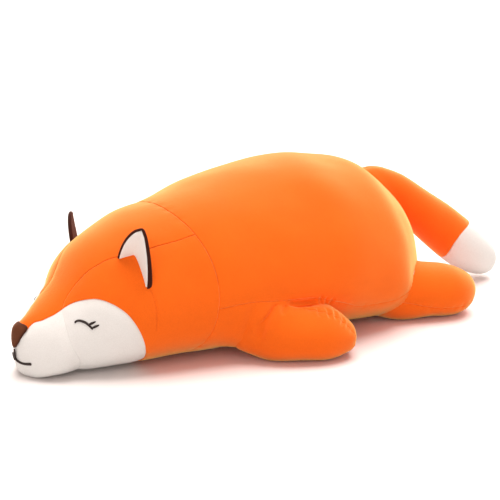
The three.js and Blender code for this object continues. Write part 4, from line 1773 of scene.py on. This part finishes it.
@dataclass
class Tail:
    """A stuffed tail in two orange halves, with a white end."""

    start: tuple[float, float] = (355 * MM, 110 * MM)
    reach: float = 169 * MM
    sweep: float = 29 * MM
    tip_height: float = 13 * MM
    half_width: float = 24.5 * MM
    half_depth: float = 22 * MM
    white_from: float = 122 * MM
    white_bow: float = 12 * MM
    bridge: float = 9 * MM
    buried: float = 4 * MM
    bend_steps: Rows = ((20, 0, 0), (55, -10, -30))  # mm, from the root
    rings: int = 96
    around: int = 84
    shares: Rows = (
        (0, 0, 0, 0, 0),
        (0.107, 0, -0.04, 0.57, 0.64),
        (0.272, 0.1, 0.072, 0.73, 0.82),
        (0.438, 0.276, 0.278, 0.86, 0.91),
        (0.604, 0.483, 0.503, 0.94, 1.04),
        (0.746, 0.69, 0.713, 1, 1.06),
        (0.876, 0.862, 0.882, 0.87, 0.92),
        (0.964, 0.966, 0.992, 0.51, 0.56),
        (1, 1, 1.022, 0, 0),
    )
    form: TailForm = field(init=False)

    def __post_init__(self) -> None:
        """Makes the form."""
        x, z = self.start
        sizes = (self.reach, -self.sweep, self.tip_height - z, self.half_width, self.half_depth)
        self.form = TailForm(np.array(self.shares, float) * sizes + (x, 0, z, 0, 0))

    def white_field(self, points: Array) -> Array:
        """How far points lie in the white end: along the tail, and bowed by a square across it.

        Args:
            points: Where it is measured.

        Returns:
            The distances past the white end's seam.
        """
        place = self.form.place_at(np.array([self.start[0] + self.white_from]))
        centre = smooth_rows(self.form.rows, place)[0, :3]
        along, side, _ = (axis[0] for axis in self.form.axes(place))
        across = (points - centre) @ side / self.half_width
        return (points - centre) @ along + self.white_bow * across**2

    def left_field(self, points: Array) -> Array:
        """How far to the left of the centre line points lie, seen from above."""
        line = smooth_rows(self.form.rows, self.form.places)
        return np.interp(points[:, 0], line[:, 0], line[:, 1]) - points[:, 1]

    def bend(self, nose_x: float) -> Bend:
        """Where the tail would leave the body's motion for its joint's.

        Args:
            nose_x: The muzzle tip's x in the frame.

        Returns:
            The bend.
        """
        root = np.array((nose_x + self.start[0], 0.0, self.start[1]))
        start, end = np.array(self.bend_steps) * MM
        return Bend("tail", root + start, root + end)

    def build(self, shop: Workshop, body: Body) -> None:
        """Makes the tail's panels, which are not attached to the body.

        Args:
            shop: What they are made with.
            body: The body that the tail is sewn to.
        """
        form = self.form
        net = Net.over(form.length, self.rings, self.around)
        net = net.split(body.skin.gap(form.points(net.pairs)) + self.buried)[0]
        white, orange = net.split(self.white_field(form.points(net.pairs)))
        left, right = orange.split(self.left_field(form.points(orange.pairs)))
        bridging = Fillet(body.skin, lambda points: np.full(len(points), self.bridge))
        lumps = Lumps(0.4 * MM, 0.2 * MM, seed=31, fade_from=0.0, fade_over=0.01)
        relief = Relief(bridging, lumps)
        bend = self.bend(shop.nose_x)
        looks = {
            "tail_panel_left": (left, shop.finishes.orange, "orange_plush"),
            "tail_panel_right": (right, shop.finishes.orange, "orange_plush"),
            "tail_tip_panel": (white, shop.finishes.cream, "cream_plush"),
        }
        for node, (part, finish, slot) in looks.items():
            cloth = Cloth(form, part, relief, Seam(), no_shade_line)
            shop.add(f"{node}_plush", cloth.parts, finish, slot, node, bend)


@dataclass
class Face:
    """The nose patch, and the mouth and eyes embroidered on the muzzle and cheeks."""

    nose_half: float = 9.4 * MM
    nose_height: float = 20 * MM
    nose_bottom: float = 25.2 * MM
    nose_middle: float = 37 * MM
    nose_thickness: float = 1.7 * MM
    nose_sunk: float = 0.8 * MM
    mouth_top: float = 24.7 * MM
    mouth_half: float = 16.7 * MM
    mouth_drop: float = 11.4 * MM
    eye_start: float = 37.2 * MM
    eye_width: float = 10.2 * MM
    eye_top: float = 50.8 * MM
    eye_depth: float = 6.1 * MM
    lash_length: float = 4.6 * MM
    lash_rise: float = 2.9 * MM
    thread_half: float = 1.05 * MM
    thread_height: float = 0.85 * MM
    nose_shares: Rows = (
        (0, 1), (0.5, 0.98), (0.86, 0.92), (1, 0.81), (0.92, 0.64), (0.72, 0.42), (0.47, 0.2),
        (0.2, 0.05), (0, 0),
    )
    mouth_line: Rows = ((0, 0), (0, 0.4), (0, 0.8))
    mouth_shares: Rows = ((0, 0.76), (0.18, 0.92), (0.4, 1), (0.68, 0.97), (1, 0.87))
    eye_shares: Rows = ((0, 0.3), (0.16, 0.07), (0.35, 0), (0.56, 0.1), (0.75, 0.36), (1, 1))
    lash_roots: Rows = ((0.8, 0.44), (0.96, 0.84))
    # the width of a thread's two ends, as shares of its own
    mouth_ends: tuple[float, float] = (0.7, 0.9)
    arc_ends: tuple[float, float] = (0.9, 1.25)
    lid_ends: tuple[float, float] = (0.85, 0.8)
    lash_ends: tuple[float, float] = (0.8, 0.45)
    stitch: float = 0.3 * MM  # between the rings of a thread
    lift: float = 0.15 * MM  # of a thread's middle over the cloth

    NOSE_RINGS = 22
    NOSE_POINTS = 49
    TURNED_UNDER = 0.9  # the outline of the patch's back, as a share of its front's
    CURVE_POINTS = 40
    LINE_POINTS = 20
    LASH_POINTS = 12
    THREAD_SIDES = 14
    FEWEST_RINGS = 12

    def build_nose(self, shop: Workshop, body: Body) -> None:
        """Makes the nose: a domed patch whose edge is turned under.

        A point at share r of the way from the patch's middle to its outline rises over the cloth by
        thickness · √(1 - r⁶), and the back of the patch lies a little under the cloth.

        Args:
            shop: What it is made with.
            body: The body whose muzzle it lies on.
        """
        size = np.array((self.nose_half, self.nose_height))
        half = smooth_line(self.nose_shares, size, self.NOSE_POINTS)
        line = np.vstack((half, half[-2:0:-1] * (-1, 1))) + (0, self.nose_bottom)
        middle = np.array((0.0, self.nose_middle))
        front = np.sin(np.linspace(0, math.pi / 2, self.NOSE_RINGS))
        shares = np.concatenate((front * self.TURNED_UNDER, front[::-1]))
        sunk = np.full(self.NOSE_RINGS, -self.nose_sunk)
        rise = np.concatenate((sunk, self.nose_thickness * self.dome(front[::-1])))
        flat = middle + shares[:, None, None] * (line - middle)
        points, normals = body.on_front(flat[..., 0].ravel(), flat[..., 1].ravel())
        points = (points + normals * np.repeat(rise, len(line))[:, None]).reshape(*flat.shape[:2], 3)
        corners, faces = closed_grid(points)
        # how far in from the outline a corner lies, along which the nose's finish paints shade
        edge = np.repeat((1 - shares[1:-1]) * self.nose_half, len(line))
        distance = np.concatenate(([self.nose_half], edge, [self.nose_half]))
        cloth = (corners, self.outward(corners, faces), distance)
        shop.add("nose_patch", cloth, shop.finishes.nose, "nose_plush", "nose", fill=0.4)

    @staticmethod
    def dome(shares: Array) -> Array:
        """The patch's rise at shares of the way to its edge: √(1 - r⁶)."""
        return np.sqrt(np.clip(1 - shares**6, 0, 1))

    @staticmethod
    def outward(corners: Array, faces: Array) -> Array:
        """The triangles, turned over where the volume that they hold is negative.

        Args:
            corners: The points.
            faces: The triangles.

        Returns:
            The triangles, facing outward.
        """
        a, b, c = (corners[faces[:, k]] for k in range(3))
        volume = np.einsum("ij,ij->i", a, np.cross(b, c)).sum()
        return faces if volume > 0 else faces[:, ::-1]

    def stitched(self, line: Array, normals: Array, ends: tuple[float, float]) -> tuple[Array, Array, Array]:
        """Satin stitches along a line on the cloth.

        Round the line at angle a the thread lies at line + across · w cos a + normal · h sin a. Its
        half width w and height h shrink towards an end by the root of 1 - t², t being the distance
        into the last stretch, and an end may be drawn out thinner.

        Args:
            line: Points on the cloth.
            normals: The cloth's normals there.
            ends: The share of the full width that each end has.

        Returns:
            The points, the triangles, and how far along and round the thread each point lies.
        """
        runs = np.linalg.norm(np.diff(line, axis=0), axis=1)
        along = np.concatenate(([0.0], np.cumsum(runs)))
        fresh = np.linspace(0, along[-1], max(int(along[-1] / self.stitch), self.FEWEST_RINGS))
        path = np.stack([np.interp(fresh, along, line[:, k]) for k in range(3)], axis=1)
        up = unit(np.stack([np.interp(fresh, along, normals[:, k]) for k in range(3)], axis=1))
        across = unit(np.cross(np.gradient(path, axis=0), up))
        width = np.interp(fresh, (0, along[-1] / 2, along[-1]), (ends[0], 1.0, ends[1]))
        from_end = np.minimum(fresh, along[-1] - fresh) / (self.thread_half * width)
        width = width * np.sqrt(1 - np.clip(1 - from_end, 0, 1) ** 2)
        angle = np.linspace(0, FULL_TURN, self.THREAD_SIDES + 1)[:-1]
        side = across[:, None] * (np.cos(angle) * self.thread_half)[:, None]
        over = up[:, None] * (np.sin(angle) * self.thread_height)[:, None]
        grid = path[:, None] + (side + over) * width[:, None, None]
        corners, faces = closed_grid(grid)
        inner = np.stack(np.broadcast_arrays(fresh[1:-1, None], angle[None]), axis=2).reshape(-1, 2)
        where = np.vstack(((fresh[0], 0.0), inner, (fresh[-1], 0.0)))
        return corners, self.outward(corners, faces), where

    def on_cloth(
        self, place: Callable[[Array, Array], tuple[Array, Array]], flat: Array, ends: tuple[float, float]
    ) -> Thread:
        """A thread along a flat line, whose two numbers find a place on the cloth."""
        points, normals = place(flat[:, 0], flat[:, 1])
        return points + normals * self.lift, normals, ends

    def embroider(
        self, shop: Workshop, name: str, node: str, threads: list[Thread], mirror: bool = False
    ) -> None:
        """Makes a piece of embroidery.

        Args:
            shop: What it is made with.
            name: The piece's name.
            node: The node that it stands for.
            threads: Each thread's line, normals and the widths of its ends.
            mirror: Whether it is the mirror image on the right.
        """
        made = [self.stitched(*thread) for thread in threads]
        shift = np.cumsum([0] + [len(part[0]) for part in made[:-1]])
        corners = np.vstack([part[0] for part in made]) * (1, -1 if mirror else 1, 1)
        faces = np.vstack([part[1] + first for part, first in zip(made, shift)])
        faces = faces[:, ::-1] if mirror else faces
        cloth = (corners, faces, None)
        piece = shop.add(name, cloth, shop.finishes.thread, "embroidery_thread", node, fill=None)
        layer = piece.data.uv_layers.new(name=THREAD_MAP)
        where = np.vstack([part[2] for part in made])
        layer.data.foreach_set("uv", where[faces.ravel()].astype(np.float32).ravel())

    def build_mouth(self, shop: Workshop, body: Body) -> None:
        """Makes the mouth: a line down from the nose and an arc to each side.

        Args:
            shop: What it is made with.
            body: The body whose muzzle it lies on.
        """
        scale, top = np.array((self.mouth_half, -self.mouth_drop)), (0, self.mouth_top)
        arc = smooth_line(self.mouth_shares, scale, self.CURVE_POINTS)
        line = smooth_line(self.mouth_line, scale, self.LINE_POINTS)
        lines = ((line, self.mouth_ends), (arc, self.arc_ends), (arc * (-1, 1), self.arc_ends))
        threads = [self.on_cloth(body.on_front, flat + top, ends) for flat, ends in lines]
        self.embroider(shop, "mouth_embroidery", "mouth_stitch", threads)

    def build_eyes(self, shop: Workshop, body: Body) -> None:
        """Makes both closed eyes: a lid line with two lashes.

        Args:
            shop: What they are made with.
            body: The body whose cheeks they lie on.
        """
        scale, start = np.array((self.eye_width, -self.eye_depth)), (self.eye_start, self.eye_top)
        lines = [(smooth_line(self.eye_shares, scale, self.CURVE_POINTS) + start, self.lid_ends)]
        for root in self.lash_roots:
            foot = np.array(root) * scale + start
            tip = foot + (self.lash_length, self.lash_rise)
            shares = np.linspace(0, 1, self.LASH_POINTS)[:, None]
            lines.append((foot + shares * (tip - foot), self.lash_ends))
        threads = [self.on_cloth(body.on_cheek, flat, ends) for flat, ends in lines]
        for side in Side:
            node = f"eye_stitch_{side.word}"
            name = f"eye_embroidery_{side.word}"
            self.embroider(shop, name, node, threads, side is Side.RIGHT)

    def build(self, shop: Workshop, body: Body) -> None:
        """Makes nose, mouth and eyes.

        Args:
            shop: What they are made with.
            body: The body that they lie on.
        """
        self.build_nose(shop, body)
        self.build_mouth(shop, body)
        self.build_eyes(shop, body)


@dataclass
class Ear:
    """An ear: a brown back that is turned over the edge of a white lining, cupped round a fold."""

    side: Side
    from_nose: float = 92.3 * MM
    from_middle: float = 41.8 * MM
    front_wing: tuple[float, float] = (-14.2 * MM, 5.1 * MM)
    side_wing: tuple[float, float] = (-2.3 * MM, -22 * MM)
    tip: tuple[float, float, float] = (-2.6 * MM, -15.7 * MM, 23.2 * MM)
    right_tip_change: tuple[float, float, float] = (-2 * MM, -2 * MM, -1.7 * MM)
    right_foot_change: Rows = ((-5, 3.6), (-7.6, -5.2), (0.9, -0.2))  # mm; its fold is shallower
    back_thickness: float = 1.8 * MM
    lining_thickness: float = 1.6 * MM
    rim: float = 0.6 * MM
    seat: float = 5 * MM
    edges: Rows = ((2.7, 0.34), (1.35, 0.48))  # front, rear
    right_edges: Rows = ((2.0, 0.5), (6.0, 0.33))
    fold_radius: float = 0.06  # as a share of the foot's line
    gap: float = 0.15 * MM  # of each layer from the middle surface
    thicker: float = 0.8  # of the back's thickness, added low down near its side wing
    back_round: float = 1.5 * MM
    lining_round: float = 1.2 * MM
    turned_round: float = 0.7 * MM
    turned_over: float = 0.9 * MM  # how wide the back is turned over the lining's edge
    turned_share: float = 0.75  # of the lining's thickness
    bend_shares: tuple[float, float] = (-0.1, 0.35)  # of its height, between which it would start to turn
    fill: float = 0.15
    across: int = 56
    up: int = 48

    SLOPE_STEP = 1e-3
    RISE_STEP = 2e-4
    FAR = 1.0  # stands for no seam near, where no shade is painted

    def rise(self) -> Array:
        """From the fold to the tip, as if the ear were the left one.

        Returns:
            A vector.
        """
        if self.side is Side.LEFT:
            return np.array(self.tip)
        shift = np.array((*self.right_foot_change[1], 0.0)) * MM
        return np.array(self.tip) + self.right_tip_change - shift

    def base(self, body: Body) -> Array:
        """The three points of the ear's foot on the crown: front wing, fold and side wing.

        Args:
            body: The body whose crown it stands on.

        Returns:
            The points, as if the ear were the left one.
        """
        fold = np.array((self.from_nose, -self.from_middle))
        plan = np.array((fold + self.front_wing, fold, fold + self.side_wing))
        if self.side is Side.RIGHT:
            plan += np.array(self.right_foot_change) * MM
        rows = body.form.rows_at(plan[:, 0])
        share = np.sqrt(1 - (plan[:, 1] / rows[:, 1]) ** 2)
        height = rows[:, 4] + (rows[:, 2] - rows[:, 4]) * share
        return np.column_stack((plan, height))

    def sheet(self, foot: Array, u: Array, v: Array) -> Array:
        """The ear's middle surface.

        The foot's two straight sides, rounded where they meet at the fold, are drawn together
        towards it by (1 - vⁿ) to a power, and v times the rise is added. Both exponents run from
        those of the front edge to those of the rear one.

        Args:
            foot: The foot's three points.
            u: Across the ear, from the front wing to the side wing.
            v: Up the ear.

        Returns:
            Points.
        """
        front, rear = self.edges if self.side is Side.LEFT else self.right_edges
        n, power = (a + (b - a) * u for a, b in zip(front, rear))
        spread = np.maximum(1 - np.maximum(v, 0) ** n, 0) ** power
        t = np.clip(u, 0, 1) - 0.5
        root = np.hypot(t, self.fold_radius)
        line = (root - t)[..., None] * (foot[0] - foot[1]) + (root + t)[..., None] * (foot[2] - foot[1])
        return foot[1] + line * spread[..., None] + v[..., None] * self.rise()

    def leaf(self, foot: Array, inset: float, low: Field, high: Field) -> tuple[Array, Array, Array]:
        """A closed layer of the ear between two distances in front of its middle surface.

        Its outline is the sheet's, drawn in. The rows draw closer towards the tip by a square, and
        the columns towards both edges by a cosine. The grid runs over the front and back over the
        rear, so that its columns go round the layer and its rows up it.

        Args:
            foot: The foot's points.
            inset: How far the outline is drawn in.
            low: The rear's distance at (share across, share up, distance from the edge).
            high: The front's distance there.

        Returns:
            Points, triangles and distances from the edge, along which the finish paints a dark shade line.
        """
        height = float(np.linalg.norm(self.rise()))
        share = inset / height
        w = np.linspace(1, 0, self.up + 1)
        bottom, top = -self.seat / height, 1.0 - share
        v = top - (top - bottom) * w**2
        u = share + (1 - 2 * share) * (1 - np.cos(np.linspace(0, math.pi, self.across + 1))) / 2
        uu, vv = np.meshgrid(u, v, indexing="xy")
        points = self.sheet(foot, uu, vv)
        right = self.sheet(foot, uu + self.SLOPE_STEP, vv) - self.sheet(foot, uu - self.SLOPE_STEP, vv)
        over = self.sheet(foot, uu, vv + self.RISE_STEP) - self.sheet(foot, uu, vv - self.RISE_STEP)
        normal = unit(np.cross(right, over))
        if inset == 0:
            normal[-1] = unit(normal[-2].mean(0))
        steps = np.linalg.norm(np.diff(points, axis=1), axis=2)
        from_left = np.hstack((np.zeros((len(v), 1)), np.cumsum(steps, axis=1)))
        edge = np.minimum(from_left, from_left[:, -1:] - from_left)
        edge = np.minimum(edge, (top - vv) * height)
        there = np.stack((uu, vv, edge), axis=2)
        front = points + normal * high(there)[..., None]
        rear = points + normal * low(there)[..., None]
        ring = np.hstack((front, rear[:, -2:0:-1]))
        around = np.hstack((edge, edge[:, -2:0:-1]))
        foot_point, tip_point = ring[:1].mean(1, keepdims=True), ring[-1:].mean(1, keepdims=True)
        columns = ring.shape[1]
        grid = np.vstack((np.repeat(foot_point, columns, 1), ring[:-1], np.repeat(tip_point, columns, 1)))
        corners, faces = closed_grid(grid)
        distance = np.concatenate(([self.FAR], around[:-1].ravel(), [0.0]))
        return corners, Face.outward(corners, faces), distance

    def build(self, shop: Workshop, body: Body) -> None:
        """Makes the ear's two layers, which are not attached to the body.

        Args:
            shop: What they are made with.
            body: The body that the ear is sewn to.
        """
        foot = self.base(body)

        def rounded(edge: Array, radius: float) -> Array:
            """A quarter round over a radius from the edge: √(1 - (1 - edge / radius)²)."""
            return np.sqrt(np.clip(1 - np.clip(1 - edge / radius, 0, 1) ** 2, 0, 1))

        def back_rear(at: Array) -> Array:
            """The back's outer face, thicker low down near the side wing."""
            thick = self.back_thickness * (1 + self.thicker * ease(1 - at[..., 1]) * ease(at[..., 0]))
            return -self.gap - thick * rounded(at[..., 2], self.back_round)

        def back_front(at: Array) -> Array:
            """The back's inner face, which is turned over the lining along its edge.

            Args:
                at: Shares across and up the ear, and the distance from its edge.

            Returns:
                Distances in front of the middle surface.
            """
            inward = ease(1 - (at[..., 2] - self.turned_round) / self.turned_over)
            rim = rounded(at[..., 2], self.turned_round) * inward
            return -self.gap + (self.lining_thickness * self.turned_share + self.gap) * rim

        def lining_rear(at: Array) -> Array:
            """The lining's inner face."""
            return np.full(at.shape[:-1], self.gap)

        def lining_front(at: Array) -> Array:
            """The lining's outer face."""
            return self.gap + self.lining_thickness * rounded(at[..., 2], self.lining_round)

        looks = (
            ("ear_back", 0.0, back_rear, back_front, shop.finishes.brown, "brown_plush"),
            ("ear_lining", self.rim, lining_rear, lining_front, shop.finishes.cream, "cream_plush"),
        )
        mirror = self.side is Side.RIGHT
        flip = np.array((1, -1 if mirror else 1, 1))
        start, end = (
            (foot[1] + share * self.rise()) * flip + (shop.nose_x, 0, 0) for share in self.bend_shares
        )
        bend = Bend(f"ear_{self.side.word}", start, end)
        for word, inset, low, high, finish, slot in looks:
            corners, faces, distance = self.leaf(foot, inset, low, high)
            node = f"{word}_{self.side.word}"
            parts = (corners * flip, faces[:, ::-1] if mirror else faces, distance)
            shop.add(f"{node}_plush", parts, finish, slot, node, bend, self.fill)


@dataclass
class Filling:
    """Loose filling: a form drawn in under its cloth, lumpy, and pressed flat where it meets another."""

    form: Form
    node: str
    bend: Bend | None = None
    inside: float = 2.6 * MM
    lump: float = 0.7 * MM
    lump_pitch: float = 14 * MM
    seed: int = 5
    clear: float = 0.3 * MM  # of the body's skin
    rings: int = 40
    around: int = 44

    def build(self, shop: Workshop, body: Body | None) -> None:
        """Makes the filling.

        Args:
            shop: What it is made with.
            body: The body that the filling stays out of, or None for the body's own.
        """
        net = Net.over(self.form.length, self.rings, self.around)
        weld = Weld.of(self.form, net)
        depth = self.inside + self.lump * (1 + Ripple(self.lump_pitch, self.seed)(weld.points))
        points = weld.points - depth[:, None] * weld.normals
        if body is not None:
            gap, normals = body.skin.nearest(points)
            points = points + np.maximum(self.clear - gap, 0)[:, None] * normals
        points[:, 2] = np.maximum(points[:, 2], self.inside)
        faces = weld.faces[:, ::-1] if self.form.mirror else weld.faces
        parts = (points, faces, None)
        fibre = shop.finishes.fibre
        shop.add(f"{self.node}_fibre", parts, fibre, "polyester_filling", self.node, self.bend)


@dataclass(frozen=True)
class Sun:
    """A wide, distant lamp."""

    name: str
    towards: tuple[float, float, float]
    level: float  # of a white surface that faces it
    width: float  # degrees
    colour: tuple[float, float, float]


@dataclass
class Studio:
    """A pale floor, soft lamps and the camera of the photograph."""

    target: tuple[float, float, float] = (237 * MM, 0.0, 68 * MM)  # counted from the muzzle's tip
    azimuth: float = 36.0
    elevation: float = 16.0
    distance: float = 1.15
    focal_pixels: float = 1265.0
    frame_pixels: float = 500.0
    sensor: float = 36.0
    floor_half: float = 14.0
    world_level: float = 0.4
    suns: tuple[Sun, ...] = (
        Sun("top_lamp", (0.15, 0.05, 0.98), 0.95, 50.0, (1.0, 0.99, 0.97)),
        Sun("back_lamp", (0.62, 0.62, 0.45), 0.95, 50.0, (1.0, 0.98, 0.94)),
        Sun("fill_lamp", (-0.65, -0.65, 0.2), 0.26, 80.0, (1.0, 0.98, 0.96)),
    )
    floor_colour: Colour = (0.72, 0.72, 0.72, 1.0)
    floor_seen: Colour = (1.0, 0.91, 0.88, 1.0)
    floor_roughness: float = 0.9
    world_colour: Colour = (1.0, 0.985, 0.97, 1.0)

    def directions(self) -> tuple[Array, Array, Array]:
        """The camera's right, up and backward directions.

        Returns:
            Three unit vectors.
        """
        turn, tilt = math.radians(self.azimuth), math.radians(self.elevation)
        flat = math.cos(tilt)
        back = np.array((-math.sin(turn) * flat, -math.cos(turn) * flat, math.sin(tilt)))
        right = np.array((math.cos(turn), -math.sin(turn), 0.0))
        return right, np.cross(back, right), back

    def place(self, thing: Any, at: Array, right: Array, up: Array, back: Array) -> None:
        """Stands a camera or lamp at a point, looking against its backward direction.

        Args:
            thing: The camera or lamp.
            at: The point.
            right: Its right.
            up: Its up.
            back: Its backward direction.
        """
        rows = np.column_stack((right, up, back, at)).tolist()
        thing.matrix_world = Matrix((*rows, (0.0, 0.0, 0.0, 1.0)))
        bpy.context.scene.collection.objects.link(thing)

    def build_camera(self, nose_x: float) -> None:
        """Makes the camera, which sees what the photograph shows.

        Args:
            nose_x: The muzzle tip's x in the frame.
        """
        lens = bpy.data.cameras.new("camera")
        lens.sensor_width = self.sensor
        lens.lens = self.focal_pixels / self.frame_pixels * self.sensor
        camera = bpy.data.objects.new("camera", lens)
        right, up, back = self.directions()
        target = np.array(self.target) + (nose_x, 0, 0)
        self.place(camera, target + self.distance * back, right, up, back)
        bpy.context.scene.camera = camera

    def build_sun(self, sun: Sun) -> None:
        """Makes a soft, even lamp.

        A sun of strength S lights a white surface that faces it to S / π.

        Args:
            sun: Where it is, how wide and how bright.
        """
        lamp = bpy.data.lights.new(sun.name, "SUN")
        lamp.energy = sun.level * math.pi
        lamp.angle = math.radians(sun.width)
        lamp.color = sun.colour
        back = unit(np.array(sun.towards))
        right = unit(np.cross((0.0, 1.0, 0.0), back))
        self.place(bpy.data.objects.new(sun.name, lamp), back, right, np.cross(back, right), back)

    def build_world(self) -> None:
        """Lights the scene evenly, and shows white behind the floor."""
        world = bpy.data.worlds.new("studio")
        bpy.context.scene.world = world
        world.use_nodes = True
        back = world.node_tree.nodes["Background"]
        nodes = Nodes(world.node_tree)
        nodes.feed(back.inputs["Color"], self.world_colour)
        strength = nodes.ramp(nodes.looked_at(), (0.0, 1.0), (self.world_level, 1.0))
        nodes.feed(back.inputs["Strength"], strength)

    def build_floor(self) -> None:
        """Lays the pale floor."""
        half = self.floor_half
        corners = np.array(((-half, -half, 0), (half, -half, 0), (half, half, 0), (-half, half, 0)))
        floor = make_piece("floor", corners, np.array(((0, 1, 2), (0, 2, 3))))
        sheet = Sheet("floor_card")
        colour = sheet.mix(sheet.looked_at(), self.floor_colour, self.floor_seen)
        sheet.set(Base_Color=colour, Roughness=self.floor_roughness, Specular_IOR_Level=0.0)
        floor.data.materials.append(sheet.material)

    def build(self, nose_x: float) -> None:
        """Makes floor, world, lamps and camera, and sets the plain view.

        Args:
            nose_x: The muzzle tip's x in the frame.
        """
        self.build_floor()
        self.build_world()
        for sun in self.suns:
            self.build_sun(sun)
        self.build_camera(nose_x)
        bpy.context.scene.view_settings.view_transform = "Standard"


def main() -> None:
    """Builds the toy, its floor, lamps and camera, in order."""
    logging.basicConfig(level=logging.INFO, format="%(message)s")
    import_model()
    shop = Workshop(Finishes(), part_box("muzzle_panel")[0].x)
    body = Body(creases=BODY_CREASES)
    legs = [make(side) for side in Side for make in (front_leg, hind_leg)]
    bridges = [Fillet(leg.skin, leg.bridging) for leg in legs]
    body.build(shop, Relief(Lumps(), *bridges, *body.folds()))
    for leg in legs:
        leg.build(shop, body)
    tail = Tail()
    tail.build(shop, body)
    Face().build(shop, body)
    for side in Side:
        Ear(side).build(shop, body)
    Filling(body.form, "body_filling", rings=80, around=72).build(shop, None)
    for leg in legs:
        node = f"{leg.name}_filling_{leg.side.word}"
        Filling(leg.form, node, leg.bend(shop.nose_x)).build(shop, body)
    Filling(tail.form, "tail_filling", tail.bend(shop.nose_x)).build(shop, body)
    Studio().build(shop.nose_x)


if __name__ == "__main__":
    main()
